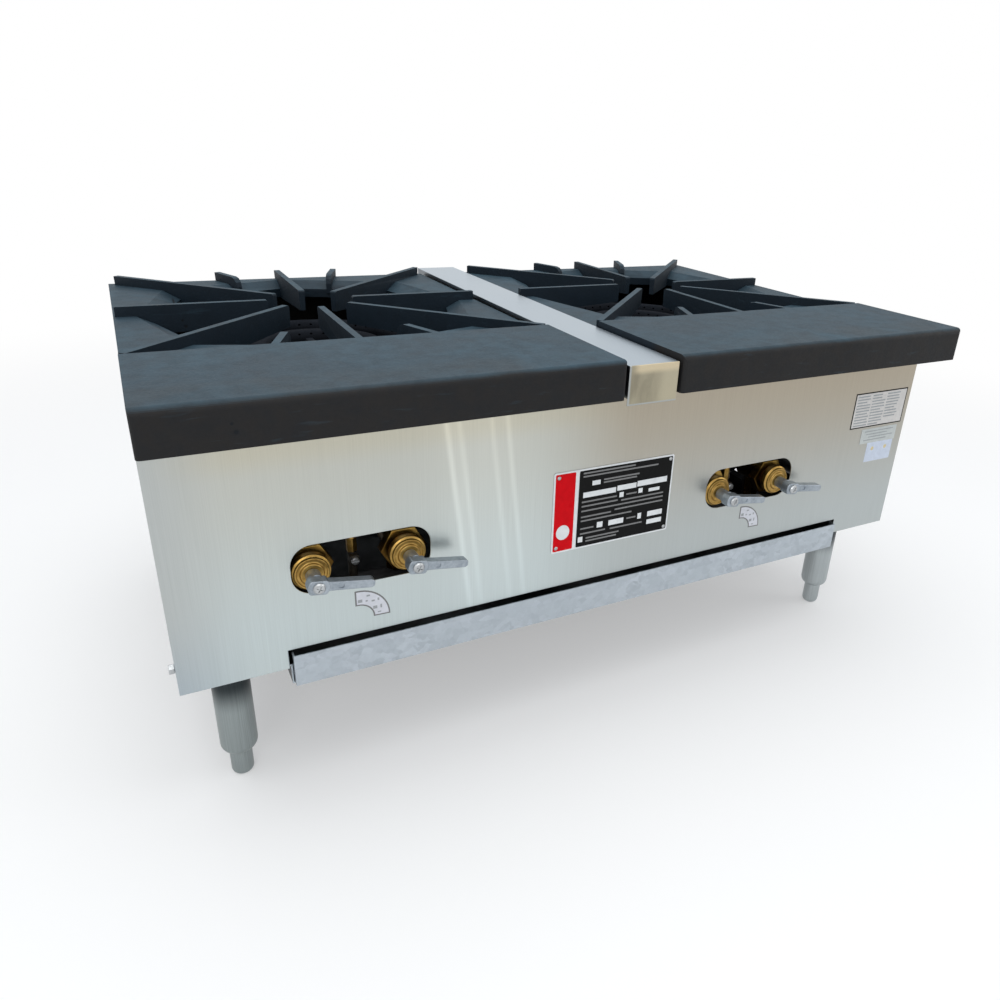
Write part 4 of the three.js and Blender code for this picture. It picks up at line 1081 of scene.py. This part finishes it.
def on_plate(left, right, top, bottom, half=0.0):
    """A rectangle given in shares of the plate, and made wider up and down by half."""
    x0, x1, z0, z1 = PLATE
    width, height = x1 - x0, z1 - z0
    return box_outline(x0 + width * left, x0 + width * right,
                       z1 - height * bottom - half, z1 - height * top + half)


def make_plate():
    """The data plate's band, blank fields, rules, oval and rivets."""
    x0, x1, z0, z1 = PLATE
    t = PLATE_THICKNESS
    band = x0 + (x1 - x0) * BAND_SHARE
    low, high = z0 + PLATE_BORDER, z1 - PLATE_BORDER
    flat("data_plate", "ink_white", 0, t, box_outline(*PLATE, 2.5), bevel=0.25)
    flat("data_plate_band", "ink_red", t, INK,
         box_outline(x0 + PLATE_BORDER, band - BAND_GAP, low, high, 1.5))
    flat("data_plate_field", "ink_black", t, INK,
         box_outline(band + BAND_GAP, x1 - PLATE_BORDER, low, high, 1.5))
    flat("data_plate_blanks", "ink_white", t + INK, INK, *(on_plate(*field) for field in FIELDS))
    flat("data_plate_rules", "ink_grey", t + INK, INK,
         *(on_plate(left, right, down, down, RULE_HALF) for left, right, down in RULES))
    oval = arc(x0 + (x1 - x0) * OVAL[0], z1 - (z1 - z0) * OVAL[1], *OVAL_RADII, 0, 360, 40)
    flat("data_plate_oval", "ink_white", t + INK, INK, oval[:-1])
    spots = [(x, z) for x, inset in ((x0 + RIVET_LEFT, RIVET_LEFT), (x1 - RIVET_RIGHT, RIVET_RIGHT))
             for z in (z0 + inset, z1 - inset)]
    for i, (x, z) in enumerate(spots):
        rivet = lathe(RIVET, (x, PANEL_Y - t - INK, z), "y", 32)
        piece(f"data_plate_rivet_{i + 1}", [rivet], "zinc_plate")


STICKER_OUTER = 31.5
STICKER_INNER = 14.8
STICKER_LEFT = 2.6
STICKER_PLACES = {"left": (-291.8, 190.2), "right": (188.6, 192.6)}


def fan_outline(x, z, inset=0.0):
    """A quarter ring about a place, with its upper end drawn out to a straight left edge."""
    outer, inner = STICKER_OUTER - inset, STICKER_INNER + inset
    points = arc(x, z, outer, outer, 90, -92, 14) + arc(x, z, inner, inner, -2, 92, 10)
    for i in (14, 15):
        points[i] = (points[i][0], points[i][1] + inset)
    left = x - STICKER_LEFT + inset
    return points + [(left, z + inner), (left, z + outer)]


# Small generic marks on each sticker: place from its centre, half width and half height.
STICKER_MARKS = ((2.2, 19.7, 2.1, 1.7), (10.4, 24.2, 1.7, 0.9), (8.6, 18.6, 1.1, 0.8),
                 (14.9, 17.4, 1.6, 0.9), (16.6, 9.4, 2.1, 1.7), (22.6, 9.6, 0.8, 2.0),
                 (20.6, 3.4, 1.7, 0.7), (20.2, 18.2, 0.9, 1.4))


def make_stickers():
    for side, (x, z) in STICKER_PLACES.items():
        flat(f"sticker_edge_{side}", "ink_grey", 0, BORDER, fan_outline(x, z))
        flat(f"sticker_{side}", "label_white", BORDER, PAPER, fan_outline(x, z, 1.5))
        marks = [box_outline(x + a - half_x, x + a + half_x, z + b - half_z, z + b + half_z)
                 for a, b, half_x, half_z in STICKER_MARKS]
        flat(f"sticker_marks_{side}", "ink_pale", BORDER + PAPER, PRINT, *marks)


# The labels at the right end: left, right, low and high.
LABEL_EDGE = (354, 450, 303, 351)
LABEL = (355.6, 448.4, 304.6, 349.4)
FILM_LOWER = (393.7, 442.5, 252, 282)
FILM_UPPER = (378, 444.5, 279.5, 300)
FIRST_RULE = (358.5, 346)
COLUMN_PITCH = 27
COLUMN_WIDTH = 24.5
ROW_PITCH = 3.9
ROW_HALF = 0.85
FILM_SPOTS = ((405.2, 270.5), (429.6, 270.5))
SPOT_RADIUS = 2.8


def make_labels():
    """A label with three columns of rules, and two film labels below it."""
    flat("label_edge", "ink_black", 0, BORDER, box_outline(*LABEL_EDGE))
    flat("label", "label_cream", BORDER, PAPER, box_outline(*LABEL))
    rules = []
    for column in range(3):
        for row in range(11):
            x, z = FIRST_RULE[0] + column * COLUMN_PITCH, FIRST_RULE[1] - row * ROW_PITCH
            short = random.choice((0, 1.5, 3, 7))
            if column < 2 or row < 9:
                rules.append(box_outline(x, x + COLUMN_WIDTH - short, z - ROW_HALF, z + ROW_HALF))
    flat("label_rules", "ink_pale", BORDER + PAPER, PRINT, *rules)
    flat("film_label_lower", "label_lilac", 0, FILM, box_outline(*FILM_LOWER))
    flat("film_label_spots", "ink_straw", FILM, PRINT,
         *(regular(SPOT_RADIUS, 24, 0, spot) for spot in FILM_SPOTS))
    flat("film_label_upper", "label_grey", FILM, PAPER, box_outline(*FILM_UPPER))
    rules = [box_outline(384 + row % 3 * 4, 438 - row % 2 * 11, 295.4 - row * 4, 296.8 - row * 4)
             for row in range(4)]
    flat("film_label_rules", "ink_pale", FILM + PAPER, PRINT, *rules)


# ---- carried-over nodes


def dress(node, look, edge=0.0, segments=2):
    """A CAD node that stays: its material, and soft edges where the real sheet has them."""
    shown = NODES[node]
    shown.data.materials.clear()
    shown.data.materials.append(LOOKS[look])
    if edge:
        weld = shown.modifiers.new("weld", "WELD")
        weld.merge_threshold = 1e-6
        soft = shown.modifiers.new("edges", "BEVEL")
        soft.width = edge * MM
        soft.segments = segments
        soft.limit_method = "ANGLE"
        soft.angle_limit = radians(SHEET_ANGLE)


def dress_sheets():
    dress("front_panel", "front_sheet", 0.5)
    for node in ("back_panel", "side_panel_left", "side_panel_right", "centre_divider"):
        dress(node, "stainless", 0.5)
    dress("drip_tray", "galvanised", 0.4)
    for side in SIDES:
        for node, *how in (
                ("tray_runner", "galvanised", 0.3), ("rear_bar", "galvanised", 0.6),
                ("front_bar", "galvanised", 0.6), ("top_grate", "black_cast_iron", 1.6, 3),
                ("side_bolt", "zinc_plate", 0.4), ("pilot_tube", "aluminium_tube"),
                ("pilot_tip", "brass", 0.3)):
            dress(f"{node}_{side}", *how)
    for corner in CORNERS:
        dress(f"leg_socket_{corner}", "zinc_plate", 0.3)


# ---- stage

FLOOR_HALF = 12.0
FADE_NEAR = 0.75
FADE_FAR = 2.2
FLOOR_LIFT = 0.35
SKY = (0.9, 0.95, 1.0)
SKY_STRENGTH = 0.55
# Each lamp's place, the height that it aims at, its size in metres and its power in watts.
LAMPS = {
    "overhead": ((-0.3, -0.2, 2.6), 0.3, (3.0, 2.4), 46),
    "front": ((-1.4, -2.6, 1.6), 0.25, (1.8, 1.2), 20),
    "right": ((2.4, -1.2, 1.4), 0.3, (1.2, 1.2), 9),
}


def make_floor():
    """A white floor that takes the range's soft shadow and fades into the backdrop."""
    bm = bmesh.new()
    bmesh.ops.create_grid(bm, x_segments=2, y_segments=2, size=FLOOR_HALF)
    shape = bpy.data.meshes.new("floor")
    bm.to_mesh(shape)
    bm.free()
    s = Surface("floor", 0.0, 0.8)
    s.give("Base Color", (0.9, 0.9, 0.9))
    away = s.node("VectorMath", {0: s.place}, operation="LENGTH").outputs["Value"]
    fade = s.share(away, FADE_NEAR, FADE_FAR, FLOOR_LIFT)
    s.end("Material Output", s.shader.outputs["BSDF"], s.node("Emission").outputs["Emission"],
          s.maths("MULTIPLY", fade, s.seen_straight()))
    shape.materials.append(s.material)
    placed("floor", shape)


def make_world():
    """A cool sky that lights the range, and white where the camera looks past it."""
    world = bpy.data.worlds.new("studio")
    bpy.context.scene.world = world
    world.use_nodes = True
    sky = Nodes(world.node_tree)
    lit = sky.tree.nodes["Background"]
    sky.feed(SKY, lit.inputs["Color"])
    sky.feed(SKY_STRENGTH, lit.inputs["Strength"])
    seen = sky.node("Background", {"Color": (1, 1, 1), "Strength": 1.0})
    sky.end("World Output", lit.outputs[0], seen.outputs[0], sky.seen_straight())


def make_lights():
    for name, (place, aim, size, power) in LAMPS.items():
        data = bpy.data.lights.new(name, "AREA")
        data.shape = "RECTANGLE"
        data.size, data.size_y = size
        data.energy = power
        lamp = placed(name, data)
        lamp.location = place
        way = Vector((0, 0, aim)) - Vector(place)
        lamp.rotation_euler = way.to_track_quat("-Z", "Y").to_euler()


# ---- make it

make_camera()
dress_sheets()
make_legs()
for valve in VALVES:
    make_valve(valve)
    make_lever(valve)
    make_shutter(valve)
make_strip()
make_burners()
for side in SIDES:
    make_pilot(side)
make_pipes()
make_plate()
make_stickers()
make_labels()
make_floor()
make_world()
make_lights()
bpy.context.scene.view_settings.view_transform = "Standard"
